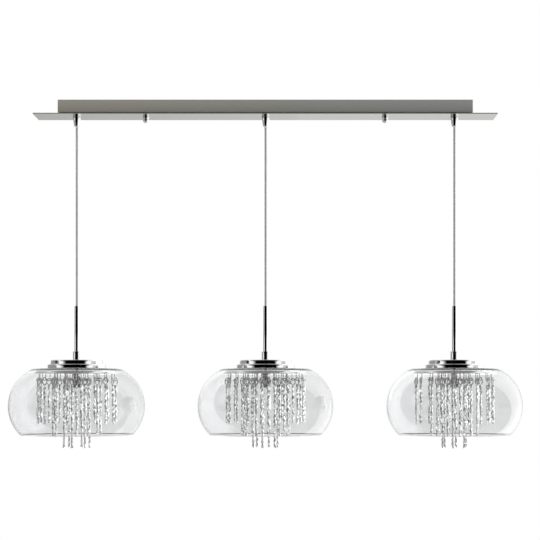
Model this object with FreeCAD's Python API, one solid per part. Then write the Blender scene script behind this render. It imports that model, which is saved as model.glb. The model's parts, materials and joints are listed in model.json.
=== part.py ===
"""Three-light linear island pendant: a ceiling box and bar plate, from which three
cables carry stems, chrome caps, clear glass shades and rings of twisted hanging strands.

Millimetres. X runs along the bar, Y from front to back, Z up. The origin is the centre
of the ceiling face, so the whole lamp hangs below Z = 0.
"""
import FreeCAD
import Part
import math
import os

Vector = FreeCAD.Vector
DOWN = Vector(0, 0, -1)
ALONG_Z = Vector(0, 0, 1)

# ---------------------------------------------------------------- driving dimensions
SIDES = {"left": -1, "middle": 0, "right": 1}
PENDANT_PITCH = 390.0

PLATE_LENGTH = 950.0
PLATE_DEPTH = 72.0
PLATE_THICKNESS = 2.0
PLATE_CORNER = 1.5
BOX_LENGTH = 850.0
BOX_DEPTH = 60.0
BOX_HEIGHT = 25.5
BOX_WALL = 1.2
BOX_CORNER = 2.0
PLATE_GAP = 2.5

BRACKET_LENGTH = 740.0
BRACKET_WIDTH = 36.0
BRACKET_THICKNESS = 2.0
BRACKET_RIB = 5.0
SLOT_PITCH = 300.0
SLOT_LENGTH = 30.0
SLOT_WIDTH = 5.6
MAINS_HOLE_DIAMETER = 20.0
MAINS_HOLE_X = -70.0
EARTH_SCREW_X = -115.0
EARTH_SCREW_DIAMETER = 4.0
EARTH_HEAD_DIAMETER = 8.0
EARTH_HEAD_HEIGHT = 3.0

STUD_PITCH = 494.0
STUD_DIAMETER = 5.0
STUD_NUT_FLATS = 8.0
STUD_NUT_HEIGHT = 4.0
BALL_NUT_DIAMETER = 13.0
BALL_NUT_COLLAR_HEIGHT = 4.4
BALL_NUT_WAIST_DIAMETER = 9.0
BALL_NUT_WAIST_HEIGHT = 1.2
BALL_NUT_CHAMFER = 0.8
SPACER_DIAMETER = 15.0

TERMINAL_LENGTH = 46.0
TERMINAL_WIDTH = 17.0
TERMINAL_HEIGHT = 13.0
TERMINAL_X = 72.0
TERMINAL_POLES = 3
TERMINAL_NOTCH = 1.6
TERMINAL_SCREW_DIAMETER = 4.0

CABLE_DIAMETER = 4.6
LEAD_LEVEL = 9.0
LEAD_BEND = 22.0
LEAD_BEND_SIDE = 3.0
LEAD_SIDE = 12.0
LEAD_TURN = 20.0
LEFT_POLE_Y = 5.5
MIDDLE_POLE_Y = -2.0
RIGHT_POLE_Y = 2.5
LEFT_LEAD_SWAY = [
    (0.125, 0.75), (0.228, 1.0), (0.353, 0.92), (0.478, 1.04), (0.604, 1.0), (0.718, 1.08),
    (0.82, 1.0)]
LEFT_LEAD_TURN = 0.918
RIGHT_LEAD_SWAY = [(0.186, 0.75), (0.339, 0.96), (0.525, 1.0), (0.712, 0.92)]
RIGHT_LEAD_TURN = 0.864
GRIP_DIAMETER = 15.7
GRIP_MIDDLE_DIAMETER = 13.6
GRIP_MOUTH_DIAMETER = 10.4
GRIP_LENGTH = 20.0
GRIP_RIM_HEIGHT = 3.0
GRIP_THREAD_DIAMETER = 9.6
GRIP_NUT_FLATS = 14.0
GRIP_NUT_HEIGHT = 4.0
GRIP_NUT_SPARE = 1.0
BUSH_DIAMETER = 8.4
BUSH_BORE = 2.4
PIVOT_ABOVE_MOUTH = 2.0

STEM_TOP_Z = -420.0
STEM_DIAMETER = 10.0
STEM_WALL = 1.0
STEM_BOTTOM_Z = -514.4
STEM_SOCKET_DEPTH = 12.0
STEM_STOP_WALL = 4.0
STEM_STOP_BORE = 3.0
STEM_TOP_ROUND = 1.2
STEM_INSERTED = 8.0

COUPLER_DIAMETER = 16.2
COUPLER_CHAMFER = 0.8
NIPPLE_DIAMETER = 10.0
NIPPLE_BORE = 6.0
CAP_TOP_Z = -532.0
CAP_CUP_DIAMETER = 107.0
CAP_CUP_HEIGHT = 9.0
CAP_CUP_ROUND = 2.6
CAP_FLANGE_DIAMETER = 120.0
CAP_FLANGE_HEIGHT = 8.0
CAP_FLANGE_ROUND = 2.0
CAP_WALL = 1.2
CAP_COLLAR_HEIGHT = 7.0
CAP_COLLAR_INSIDE = 8.0
CAP_SCREWS = 2
CAP_SCREW_ANGLE = -133.0
CAP_SCREW_LEVEL = 4.6
CAP_SCREW_HEAD_DIAMETER = 6.6
CAP_SCREW_HEAD_HEIGHT = 2.6
CAP_SCREW_DIAMETER = 3.0
CAP_SCREW_LENGTH = 6.0

GASKET_THICKNESS = 0.7
GASKET_WIDTH = 3.0
GLASS_DIAMETER = 280.0
GLASS_BULGE = 84.0
GLASS_SHOULDER = 30.0
GLASS_WIDEST_DEPTH = 77.5
GLASS_HEIGHT = 136.8
GLASS_WALL = 3.0
GLASS_HOLE_DIAMETER = 42.0

PAN_INSET = 53.5
PAN_DEPTH = 7.4
PAN_SHOULDER = 5.2
PAN_CHAMFER = 0.8
PAN_WALL = 1.5
PAN_LIP = 4.0
CLAMP_NUT_FLATS = 14.0
CLAMP_NUT_HEIGHT = 4.0

STRAND_RINGS = {
    "short": {"count": 18, "share": 0.925, "bottom": -663.0, "phase": 5.0, "turns": 5},
    "medium": {"count": 12, "share": 0.561, "bottom": -689.0, "phase": 7.5, "turns": 7},
    "long": {"count": 6, "share": 0.3, "bottom": -713.5, "phase": 16.0, "turns": 9},
}
STRAND_DIAMETER = 6.2
STRAND_SIDES = 4
EYE_WIDTH = 9.6
EYE_HEIGHT = 13.2
EYE_BAR = 2.0
EYE_DEPTH = 2.2
EYE_DROP = 10.6
HOOK_BAR = 1.8
HOOK_REACH = 3.0
HOOK_TIP = 1.4

HOLDER_DIAMETER = 18.0
HOLDER_HEAD_DIAMETER = 13.0
HOLDER_HEAD_HEIGHT = 6.6
HOLDER_HEIGHT = 24.0
HOLDER_SLOT_WIDTH = 13.0
HOLDER_SLOT_DEPTH = 6.4
HOLDER_FLOOR = 5.0
LAMP_DIAMETER = 13.6
LAMP_LENGTH = 46.0
LAMP_BASE_WIDTH = 11.6
LAMP_BASE_DEPTH = 5.0
LAMP_SHOULDER = 2.4

# ---------------------------------------------------------------- named clearances
HOLE_CLEARANCE = 0.2
SLIP_CLEARANCE = 0.1
SWIVEL_CLEARANCE = 0.3
CABLE_CLEARANCE = 0.3
SEAT_OVERLAP = 0.7

# ---------------------------------------------------------------- sizes that follow
BRACKET_UNDER_Z = -BRACKET_THICKNESS
BOX_FLOOR_Z = -BOX_HEIGHT + BOX_WALL
PLATE_TOP_Z = -BOX_HEIGHT - PLATE_GAP
PLATE_UNDER_Z = PLATE_TOP_Z - PLATE_THICKNESS
GRIP_TOP_Z = BOX_FLOOR_Z + GRIP_NUT_HEIGHT + GRIP_NUT_SPARE
GRIP_MOUTH_Z = PLATE_UNDER_Z - GRIP_LENGTH
PIVOT_Z = GRIP_MOUTH_Z + PIVOT_ABOVE_MOUTH
SWIVEL_RADIUS = BUSH_DIAMETER / 2 + SWIVEL_CLEARANCE
CABLE_END_Z = STEM_TOP_Z - STEM_SOCKET_DEPTH
CUP_BOTTOM_Z = CAP_TOP_Z - CAP_CUP_HEIGHT
FLANGE_BOTTOM_Z = CUP_BOTTOM_Z - CAP_FLANGE_HEIGHT
GLASS_TOP_Z = FLANGE_BOTTOM_Z - GASKET_THICKNESS
GLASS_UNDER_Z = GLASS_TOP_Z - GLASS_WALL
GLASS_WIDEST_Z = GLASS_TOP_Z - GLASS_WIDEST_DEPTH
GLASS_RIM_Z = GLASS_TOP_Z - GLASS_HEIGHT
PAN_DIAMETER = GLASS_DIAMETER - 2 * PAN_INSET
PAN_TOP_Z = GLASS_UNDER_Z - GASKET_THICKNESS
PAN_UNDER_Z = PAN_TOP_Z - PAN_DEPTH
NUT_BOTTOM_Z = PAN_UNDER_Z - CLAMP_NUT_HEIGHT
NIPPLE_END_Z = NUT_BOTTOM_Z - HOLDER_HEAD_HEIGHT
HOLDER_TOP_Z = NUT_BOTTOM_Z
HOLDER_BOTTOM_Z = HOLDER_TOP_Z - HOLDER_HEIGHT
EYE_TOP_Z = PAN_UNDER_Z - EYE_DROP
EYE_BOTTOM_Z = EYE_TOP_Z - EYE_HEIGHT


# ---------------------------------------------------------------- shape helpers
def cylinder(diameter, low, high, x=0.0, y=0.0):
    """An upright cylinder between two levels."""
    return Part.makeCylinder(diameter / 2, high - low, Vector(x, y, low))


def block(length, depth, low, high, x=0.0, y=0.0):
    """An upright box, centred on x and y, between two levels."""
    corner = Vector(x - length / 2, y - depth / 2, low)
    return Part.makeBox(length, depth, high - low, corner)


def hexagon(flats, low, high, x=0.0, y=0.0):
    """An upright hexagonal bar, measured across its flats."""
    radius = flats / 2 / math.cos(math.pi / 6)
    corners = []
    for step in range(7):
        angle = math.radians(60 * step)
        corners.append(Vector(x + radius * math.cos(angle), y + radius * math.sin(angle), low))
    return Part.Face(Part.makePolygon(corners)).extrude(Vector(0, 0, high - low))


def slot(length, width, low, high, x):
    """An upright slot with round ends, along X."""
    straight = length - width
    shape = block(straight, width, low, high, x)
    for end in (-1, 1):
        shape = shape.fuse(cylinder(width, low, high, x + end * straight / 2))
    return shape.removeSplitter()


def point(radius, level):
    """A point of a profile that is turned about Z."""
    return Vector(radius, 0, level)


def turned(edges):
    """A solid of revolution about Z from a closed outline of edges."""
    outline = Part.Wire(Part.__sortEdges__(edges))
    return Part.Face(outline).revolve(Vector(0, 0, 0), ALONG_Z, 360)


def lines(points):
    """Straight edges through a list of points."""
    return [Part.LineSegment(a, b).toShape() for a, b in zip(points, points[1:])]


def arc(start, middle, end):
    """An arc edge through three points."""
    return Part.Arc(start, middle, end).toShape()


def arc_about(centre, radius, from_angle, to_angle):
    """An arc edge about a centre in the profile plane, by its end angles in degrees."""
    places = []
    for angle in (from_angle, (from_angle + to_angle) / 2, to_angle):
        turn = math.radians(angle)
        places.append(centre + point(radius * math.cos(turn), radius * math.sin(turn)))
    return arc(*places)


def dome(radius, base_level, tip_level):
    """A round end, down from a cylinder of a radius to its tip on the axis."""
    height = base_level - tip_level
    sphere = (radius ** 2 + height ** 2) / (2 * height)
    base_angle = -math.degrees(math.acos(radius / sphere))
    return arc_about(point(0, tip_level + sphere), sphere, base_angle, -90)


def turned_polygon(points):
    """A solid of revolution from a closed outline with straight sides."""
    return turned(lines(points + points[:1]))


def vertical_edges(shape, low, high):
    """The upright edges of a shape that span two levels."""
    found = []
    for edge in shape.Edges:
        box = edge.BoundBox
        if box.XLength < 1e-6 and box.YLength < 1e-6 and abs(box.ZLength - (high - low)) < 1e-6:
            found.append(edge)
    return found


def bend_radius(before, corner, after):
    """The arc radius that a corner of a cord's route allows."""
    run_in = corner - before
    run_out = after - corner
    half_turn = run_in.getAngle(run_out) / 2
    return 0.45 * min(run_in.Length, run_out.Length) / math.tan(half_turn)


def cord_tube(route, diameter):
    """A round tube along straight runs joined by tangent arcs; prints its radii."""
    edges = []
    radii = []
    start = route[0]
    for before, corner, after in zip(route, route[1:], route[2:]):
        run_in = (corner - before).normalize()
        run_out = (after - corner).normalize()
        half_turn = run_in.getAngle(run_out) / 2
        radius = bend_radius(before, corner, after)
        reach = radius * math.tan(half_turn)
        arc_start = corner - run_in * reach
        arc_end = corner + run_out * reach
        inward = (run_out - run_in).normalize()
        arc_middle = corner + inward * (radius / math.cos(half_turn) - radius)
        edges.append(Part.LineSegment(start, arc_start).toShape())
        edges.append(Part.Arc(arc_start, arc_middle, arc_end).toShape())
        radii.append(round(radius, 1))
        start = arc_end
    edges.append(Part.LineSegment(start, route[-1]).toShape())
    path = Part.Wire(edges)
    section = Part.Wire(Part.makeCircle(diameter / 2, route[0], route[1] - route[0]))
    tube = path.makePipeShell([section], True, False)
    area = math.pi * diameter ** 2 / 4
    print("lead length", round(path.Length, 1), "radii", radii,
          "volume ratio", round(tube.Volume / (area * path.Length), 4))
    return tube


def around(shape, count, circle, phase=0.0):
    """Copies of a shape, moved out to a circle and spaced evenly round Z."""
    copies = []
    for step in range(count):
        copy = shape.copy()
        copy.translate(Vector(circle / 2, 0, 0))
        copy.rotate(Vector(0, 0, 0), ALONG_Z, phase + 360.0 * step / count)
        copies.append(copy)
    return copies


def pendant_places():
    """The X of each pendant, by its side."""
    return {side: step * PENDANT_PITCH for side, step in SIDES.items()}


def stud_places():
    """The X of each cover stud."""
    return [-STUD_PITCH / 2, STUD_PITCH / 2]


# ---------------------------------------------------------------- ceiling box and bar
def ceiling_bracket():
    """A ribbed steel strip with ceiling-screw slots, a mains hole and its earth screw."""
    strip = block(BRACKET_LENGTH, BRACKET_WIDTH, BRACKET_UNDER_Z, 0)
    for edge_side in (-1, 1):
        y = edge_side * (BRACKET_WIDTH - BRACKET_THICKNESS) / 2
        rib = block(BRACKET_LENGTH, BRACKET_THICKNESS, -BRACKET_RIB, 0, 0, y)
        strip = strip.fuse(rib)
    for end in (-1, 1):
        strip = strip.cut(slot(SLOT_LENGTH, SLOT_WIDTH, BRACKET_UNDER_Z, 0, end * SLOT_PITCH / 2))
    strip = strip.cut(cylinder(MAINS_HOLE_DIAMETER, BRACKET_UNDER_Z, 0, MAINS_HOLE_X))
    for x in stud_places():
        strip = strip.cut(cylinder(STUD_DIAMETER + 2 * HOLE_CLEARANCE, BRACKET_UNDER_Z, 0, x))
    head_low = BRACKET_UNDER_Z - EARTH_HEAD_HEIGHT
    strip = strip.fuse(cylinder(EARTH_HEAD_DIAMETER, head_low, BRACKET_UNDER_Z, EARTH_SCREW_X))
    strip = strip.cut(block(EARTH_HEAD_DIAMETER, 1.0, head_low, head_low + 1.0, EARTH_SCREW_X))
    return strip.removeSplitter()


def bracket_studs():
    """Two threaded studs with lock nuts under the bracket, down into the ball nuts."""
    studs = []
    low = PLATE_UNDER_Z - BALL_NUT_COLLAR_HEIGHT - BALL_NUT_WAIST_HEIGHT
    for x in stud_places():
        stud = cylinder(STUD_DIAMETER, low, -HOLE_CLEARANCE, x)
        nut_low = BRACKET_UNDER_Z - STUD_NUT_HEIGHT
        stud = stud.fuse(hexagon(STUD_NUT_FLATS, nut_low, BRACKET_UNDER_Z, x))
        studs.append(stud)
    return studs


def through_holes(low, high):
    """The holes for the cord grips and the studs, through the box floor and the plate."""
    holes = []
    for x in pendant_places().values():
        holes.append(cylinder(GRIP_THREAD_DIAMETER + 2 * HOLE_CLEARANCE, low, high, x))
    for x in stud_places():
        holes.append(cylinder(STUD_DIAMETER + 2 * HOLE_CLEARANCE, low, high, x))
    return holes


def canopy_box():
    """The open-topped folded box against the ceiling."""
    outer = block(BOX_LENGTH, BOX_DEPTH, -BOX_HEIGHT, 0)
    outer = outer.makeFillet(BOX_CORNER, vertical_edges(outer, -BOX_HEIGHT, 0))
    inner = block(BOX_LENGTH - 2 * BOX_WALL, BOX_DEPTH - 2 * BOX_WALL, BOX_FLOOR_Z, 0)
    corner = BOX_CORNER - BOX_WALL
    inner = inner.makeFillet(corner, vertical_edges(inner, BOX_FLOOR_Z, 0))
    return outer.cut(inner).cut(Part.makeCompound(through_holes(-BOX_HEIGHT, BOX_FLOOR_Z)))


def canopy_plate():
    """The wider polished bar plate under the box."""
    plate = block(PLATE_LENGTH, PLATE_DEPTH, PLATE_UNDER_Z, PLATE_TOP_Z)
    plate = plate.makeFillet(PLATE_CORNER, vertical_edges(plate, PLATE_UNDER_Z, PLATE_TOP_Z))
    return plate.cut(Part.makeCompound(through_holes(PLATE_UNDER_Z, PLATE_TOP_Z)))


def plate_spacers():
    """Washers that hold the plate off the box, one round each grip and stud."""
    washers = []
    for hole in through_holes(PLATE_TOP_Z, -BOX_HEIGHT):
        x = hole.BoundBox.Center.x
        washers.append(cylinder(SPACER_DIAMETER, PLATE_TOP_Z, -BOX_HEIGHT, x).cut(hole))
    return washers


def ball_nuts():
    """Two-part ball nuts: a collar, a waist and a round head with a blind thread."""
    collar_z = PLATE_UNDER_Z - BALL_NUT_COLLAR_HEIGHT
    waist_z = collar_z - BALL_NUT_WAIST_HEIGHT
    radius = BALL_NUT_DIAMETER / 2
    waist = BALL_NUT_WAIST_DIAMETER / 2
    hole = STUD_DIAMETER / 2 + SLIP_CLEARANCE
    hole_end = waist_z - HOLE_CLEARANCE
    shoulder_z = waist_z - BALL_NUT_CHAMFER
    tip_z = shoulder_z - radius
    chamfered = radius - BALL_NUT_CHAMFER
    outline = lines([
        point(0, tip_z), point(0, hole_end), point(hole, hole_end), point(hole, PLATE_UNDER_Z),
        point(radius, PLATE_UNDER_Z), point(radius, collar_z + BALL_NUT_CHAMFER),
        point(chamfered, collar_z), point(waist, collar_z), point(waist, waist_z),
        point(chamfered, waist_z), point(radius, shoulder_z)])
    outline.append(dome(radius, shoulder_z, tip_z))
    nut = turned(outline)
    nuts = []
    for x in stud_places():
        copy = nut.copy()
        copy.translate(Vector(x, 0, 0))
        nuts.append(copy)
    return nuts


def grip_lock_nuts():
    """Hexagon nuts that hold the cord grips inside the box."""
    nuts = []
    high = BOX_FLOOR_Z + GRIP_NUT_HEIGHT
    for x in pendant_places().values():
        bore = cylinder(GRIP_THREAD_DIAMETER + 2 * SLIP_CLEARANCE, BOX_FLOOR_Z, high, x)
        nuts.append(hexagon(GRIP_NUT_FLATS, BOX_FLOOR_Z, high, x).cut(bore))
    return nuts


def cord_grip():
    """A bullet-shaped cord grip with a threaded neck and a round seat in its mouth."""
    radius = GRIP_DIAMETER / 2
    neck = GRIP_THREAD_DIAMETER / 2
    bore = CABLE_DIAMETER / 2 + CABLE_CLEARANCE
    mouth = GRIP_MOUTH_DIAMETER / 2
    rim_z = PLATE_UNDER_Z - GRIP_RIM_HEIGHT
    middle_z = (rim_z + GRIP_MOUTH_Z) / 2
    outline = lines([
        point(mouth, GRIP_MOUTH_Z), point(0, GRIP_MOUTH_Z), point(0, GRIP_TOP_Z),
        point(neck, GRIP_TOP_Z), point(neck, PLATE_UNDER_Z),
        point(radius, PLATE_UNDER_Z), point(radius, rim_z)])
    middle = point(GRIP_MIDDLE_DIAMETER / 2, middle_z)
    outline.append(arc(point(radius, rim_z), middle, point(mouth, GRIP_MOUTH_Z)))
    grip = turned(outline)
    seat = Part.makeSphere(SWIVEL_RADIUS, Vector(0, 0, PIVOT_Z))
    return grip.cut(cylinder(2 * bore, PIVOT_Z, GRIP_TOP_Z)).cut(seat)


def terminal_block():
    """A three-pole connector strip under the bracket, with its clamp screws."""
    low = BRACKET_UNDER_Z - TERMINAL_HEIGHT
    strip = block(TERMINAL_LENGTH, TERMINAL_WIDTH, low, BRACKET_UNDER_Z, TERMINAL_X)
    pitch = TERMINAL_LENGTH / TERMINAL_POLES
    for gap in range(1, TERMINAL_POLES):
        x = TERMINAL_X - TERMINAL_LENGTH / 2 + gap * pitch
        strip = strip.cut(block(TERMINAL_NOTCH, TERMINAL_WIDTH, low, low + TERMINAL_NOTCH, x))
    for pole in range(TERMINAL_POLES):
        x = TERMINAL_X + (pole - (TERMINAL_POLES - 1) / 2) * pitch
        for row in (-1, 1):
            y = row * TERMINAL_WIDTH / 4
            well = cylinder(TERMINAL_SCREW_DIAMETER, low, low + TERMINAL_SCREW_DIAMETER, x, y)
            strip = strip.cut(well)
    return strip


def long_lead(start_x, end_x, sway, turn, pole_y):
    """A lead's route along the box, by shares of its run and of its sideways lie."""
    level = -LEAD_LEVEL
    run = end_x - start_x
    inward = math.copysign(LEAD_BEND, run)
    route = [
        Vector(start_x, 0, PIVOT_Z + SWIVEL_RADIUS), Vector(start_x, 0, level),
        Vector(start_x + inward, LEAD_BEND_SIDE, level)]
    for along, aside in sway:
        route.append(Vector(start_x + along * run, aside * LEAD_SIDE, level))
    route.append(Vector(start_x + turn * run, pole_y, level))
    route.append(Vector(end_x, pole_y, level))
    return route


def inner_leads():
    """The cables' tails inside the box, from each grip over to the terminal block."""
    block_left = TERMINAL_X - TERMINAL_LENGTH / 2
    block_right = TERMINAL_X + TERMINAL_LENGTH / 2
    left = long_lead(-PENDANT_PITCH, block_left, LEFT_LEAD_SWAY, LEFT_LEAD_TURN, LEFT_POLE_Y)
    right = long_lead(PENDANT_PITCH, block_right, RIGHT_LEAD_SWAY, RIGHT_LEAD_TURN, RIGHT_POLE_Y)
    middle = [
        Vector(0, 0, PIVOT_Z + SWIVEL_RADIUS), Vector(0, 0, -LEAD_LEVEL),
        Vector(LEAD_TURN, MIDDLE_POLE_Y, -LEAD_LEVEL),
        Vector(block_left, MIDDLE_POLE_Y, -LEAD_LEVEL)]
    return [cord_tube(route, CABLE_DIAMETER) for route in (left, middle, right)]


# ---------------------------------------------------------------- cable and stem
def cable_bush():
    """The round bush that holds the cable in the grip's mouth."""
    ball = Part.makeSphere(BUSH_DIAMETER / 2, Vector(0, 0, PIVOT_Z))
    bore = cylinder(BUSH_BORE, PIVOT_Z - BUSH_DIAMETER, PIVOT_Z + BUSH_DIAMETER)
    return ball.cut(bore)


def cable():
    """The straight hanging cable; its top is hollowed to clear the bush."""
    length = cylinder(CABLE_DIAMETER, CABLE_END_Z, PIVOT_Z)
    return length.cut(Part.makeSphere(SWIVEL_RADIUS, Vector(0, 0, PIVOT_Z)))


def stem_tube():
    """The stem, with a narrow socket at its top where the cable ends on a stop."""
    radius = STEM_DIAMETER / 2
    bore = radius - STEM_WALL
    socket = CABLE_DIAMETER / 2 + CABLE_CLEARANCE
    stop = STEM_STOP_BORE / 2
    stop_z = CABLE_END_Z - STEM_STOP_WALL
    end_z = STEM_BOTTOM_Z - STEM_INSERTED
    outline = lines([
        point(radius, STEM_TOP_Z - STEM_TOP_ROUND), point(radius, end_z), point(bore, end_z),
        point(bore, stop_z), point(stop, stop_z), point(stop, CABLE_END_Z),
        point(socket, CABLE_END_Z), point(socket, STEM_TOP_Z),
        point(radius - STEM_TOP_ROUND, STEM_TOP_Z)])
    corner = point(radius - STEM_TOP_ROUND, STEM_TOP_Z - STEM_TOP_ROUND)
    outline.append(arc_about(corner, STEM_TOP_ROUND, 90, 0))
    return turned(outline)


def stem_coupler():
    """The coupler: a socket for the stem and a hollow threaded nipple below."""
    radius = COUPLER_DIAMETER / 2
    socket = STEM_DIAMETER / 2 + SLIP_CLEARANCE
    socket_z = STEM_BOTTOM_Z - STEM_INSERTED
    nipple = NIPPLE_DIAMETER / 2
    bore = NIPPLE_BORE / 2
    return turned_polygon([
        point(socket, STEM_BOTTOM_Z), point(radius - COUPLER_CHAMFER, STEM_BOTTOM_Z),
        point(radius, STEM_BOTTOM_Z - COUPLER_CHAMFER), point(radius, CAP_TOP_Z + COUPLER_CHAMFER),
        point(radius - COUPLER_CHAMFER, CAP_TOP_Z), point(nipple, CAP_TOP_Z),
        point(nipple, NIPPLE_END_Z), point(bore, NIPPLE_END_Z), point(bore, socket_z),
        point(socket, socket_z)])


# ---------------------------------------------------------------- cap
def screw_holes(inside, outside):
    """Radial holes for the cap screws between two radii."""
    drill = Part.makeCylinder(
        CAP_SCREW_DIAMETER / 2 + SLIP_CLEARANCE, outside - inside,
        Vector(inside, 0, CAP_TOP_Z - CAP_SCREW_LEVEL), Vector(1, 0, 0))
    return Part.makeCompound(around(drill, CAP_SCREWS, 0.0, CAP_SCREW_ANGLE))


def cap_cup():
    """The upper tier of the cap: a spun cup with a rolled top edge."""
    radius = CAP_CUP_DIAMETER / 2
    inner = radius - CAP_WALL
    hole = NIPPLE_DIAMETER / 2 + SLIP_CLEARANCE
    inner_round = CAP_CUP_ROUND - CAP_WALL
    centre = point(radius - CAP_CUP_ROUND, CAP_TOP_Z - CAP_CUP_ROUND)
    under_z = CAP_TOP_Z - CAP_WALL
    outline = lines([
        point(radius, centre.z), point(radius, CUP_BOTTOM_Z), point(inner, CUP_BOTTOM_Z),
        point(inner, centre.z)])
    outline.append(arc_about(centre, inner_round, 0, 90))
    outline += lines([
        point(centre.x, under_z), point(hole, under_z), point(hole, CAP_TOP_Z),
        point(centre.x, CAP_TOP_Z)])
    outline.append(arc_about(centre, CAP_CUP_ROUND, 90, 0))
    return turned(outline).cut(screw_holes(inner - 2.0, radius + 2.0))


def cap_flange():
    """The lower tier: a wider dish whose collar stands inside the cup."""
    radius = CAP_FLANGE_DIAMETER / 2
    skirt = radius - CAP_WALL
    collar_out = CAP_CUP_DIAMETER / 2 - CAP_WALL - HOLE_CLEARANCE
    collar_in = collar_out - CAP_WALL
    collar_top = CUP_BOTTOM_Z + CAP_COLLAR_HEIGHT - CAP_WALL
    ledge = collar_in - CAP_COLLAR_INSIDE
    under_z = CUP_BOTTOM_Z - CAP_WALL
    centre = point(radius - CAP_FLANGE_ROUND, CUP_BOTTOM_Z - CAP_FLANGE_ROUND)
    outline = lines([
        point(radius, centre.z), point(radius, FLANGE_BOTTOM_Z), point(skirt, FLANGE_BOTTOM_Z),
        point(skirt, under_z), point(ledge, under_z), point(ledge, CUP_BOTTOM_Z),
        point(collar_in, CUP_BOTTOM_Z), point(collar_in, collar_top),
        point(collar_out, collar_top), point(collar_out, CUP_BOTTOM_Z),
        point(centre.x, CUP_BOTTOM_Z)])
    outline.append(arc_about(centre, CAP_FLANGE_ROUND, 90, 0))
    return turned(outline).cut(screw_holes(collar_in - 2.0, collar_out + 2.0))


def cap_screws():
    """Dome-headed screws that lock the cup to the flange's collar."""
    head = CAP_SCREW_HEAD_DIAMETER / 2
    shank = CAP_SCREW_DIAMETER / 2
    rim = CAP_SCREW_HEAD_HEIGHT * 0.4
    outline = lines([
        point(head, -rim), point(head, 0), point(shank, 0), point(shank, CAP_SCREW_LENGTH),
        point(0, CAP_SCREW_LENGTH), point(0, -CAP_SCREW_HEAD_HEIGHT)])
    outline.append(dome(head, -rim, -CAP_SCREW_HEAD_HEIGHT))
    screw = turned(outline)
    screw.rotate(Vector(0, 0, 0), Vector(0, 1, 0), -90)
    screw.translate(Vector(0, 0, CAP_TOP_Z - CAP_SCREW_LEVEL))
    return around(screw, CAP_SCREWS, CAP_CUP_DIAMETER + 2 * SLIP_CLEARANCE, CAP_SCREW_ANGLE)


# ---------------------------------------------------------------- glass and pan
def glass_gaskets():
    """Clear rings above and below the glass, under the flange and over the pan."""
    upper_out = CAP_FLANGE_DIAMETER
    upper = cylinder(upper_out, GLASS_TOP_Z, FLANGE_BOTTOM_Z)
    upper = upper.cut(cylinder(upper_out - 2 * GASKET_WIDTH, GLASS_TOP_Z, FLANGE_BOTTOM_Z))
    lower_out = PAN_DIAMETER - 2 * PAN_SHOULDER
    lower = cylinder(lower_out, PAN_TOP_Z, GLASS_UNDER_Z)
    lower = lower.cut(cylinder(lower_out - 2 * GASKET_WIDTH, PAN_TOP_Z, GLASS_UNDER_Z))
    return [upper, lower]


def glass_shade():
    """The flattened globe: a flat top with a hole, a soft shoulder, a bulge, an open rim."""
    bulge = point(GLASS_DIAMETER / 2 - GLASS_BULGE, GLASS_WIDEST_Z)
    rise = GLASS_WIDEST_DEPTH - GLASS_SHOULDER
    reach = GLASS_BULGE - GLASS_SHOULDER
    shoulder = bulge + point(math.sqrt(reach ** 2 - rise ** 2), rise)
    join_angle = math.degrees(math.asin(rise / reach))
    rim_drop = GLASS_HEIGHT - GLASS_WIDEST_DEPTH
    rim_angle = -math.degrees(math.asin(rim_drop / GLASS_BULGE))
    outline = []
    tops = []
    ends = []
    for inset in (0.0, GLASS_WALL):
        upper = arc_about(shoulder, GLASS_SHOULDER - inset, 90, join_angle)
        side = arc_about(bulge, GLASS_BULGE - inset, join_angle, rim_angle)
        tops.append(upper.Vertexes[0].Point)
        ends.append(side.Vertexes[-1].Point)
        outline += [upper, side]
    hole = GLASS_HOLE_DIAMETER / 2
    outline += lines(ends)
    outline += lines([
        tops[1], point(hole, GLASS_UNDER_Z), point(hole, GLASS_TOP_Z), tops[0]])
    return turned(outline)


def hook():
    """A small hook under the pan; its foot carries one strand's eye."""
    high = PAN_UNDER_Z + SEAT_OVERLAP
    foot_top = EYE_TOP_Z - EYE_BAR
    foot_low = foot_top - HOOK_BAR
    inner = -HOOK_REACH - HOOK_BAR / 2
    outer = HOOK_REACH + HOOK_BAR / 2
    outline = [
        (inner, high), (inner, foot_low), (outer, foot_low), (outer, foot_top + HOOK_TIP),
        (outer - HOOK_BAR, foot_top + HOOK_TIP), (outer - HOOK_BAR, foot_top),
        (inner + HOOK_BAR, foot_top), (inner + HOOK_BAR, high), (inner, high)]
    corners = [Vector(x, -HOOK_BAR / 2, z) for x, z in outline]
    return Part.Face(Part.makePolygon(corners)).extrude(Vector(0, HOOK_BAR, 0))


def carrier_pan():
    """The shallow closed pan with a round shoulder, and a hook for every strand."""
    radius = PAN_DIAMETER / 2
    wall = radius - PAN_WALL
    centre = point(radius - PAN_SHOULDER, PAN_TOP_Z - PAN_SHOULDER)
    hole = NIPPLE_DIAMETER / 2 + SLIP_CLEARANCE
    lip = centre.x - PAN_LIP
    floor_z = PAN_UNDER_Z + PAN_WALL
    outline = lines([
        point(lip, PAN_TOP_Z - PAN_WALL), point(lip, PAN_TOP_Z), point(centre.x, PAN_TOP_Z)])
    outline.append(arc_about(centre, PAN_SHOULDER, 90, 0))
    outline += lines([
        point(radius, centre.z), point(radius, PAN_UNDER_Z + PAN_CHAMFER),
        point(radius - PAN_CHAMFER, PAN_UNDER_Z), point(hole, PAN_UNDER_Z),
        point(hole, floor_z), point(wall - PAN_CHAMFER / 2, floor_z), point(wall, centre.z)])
    outline.append(arc_about(centre, PAN_SHOULDER - PAN_WALL, 0, 90))
    outline += lines([point(centre.x, PAN_TOP_Z - PAN_WALL), point(lip, PAN_TOP_Z - PAN_WALL)])
    pan = turned(outline)
    hooks = []
    for ring in STRAND_RINGS.values():
        hooks += around(hook(), ring["count"], PAN_DIAMETER * ring["share"], ring["phase"])
    return pan.multiFuse(hooks)


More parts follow.
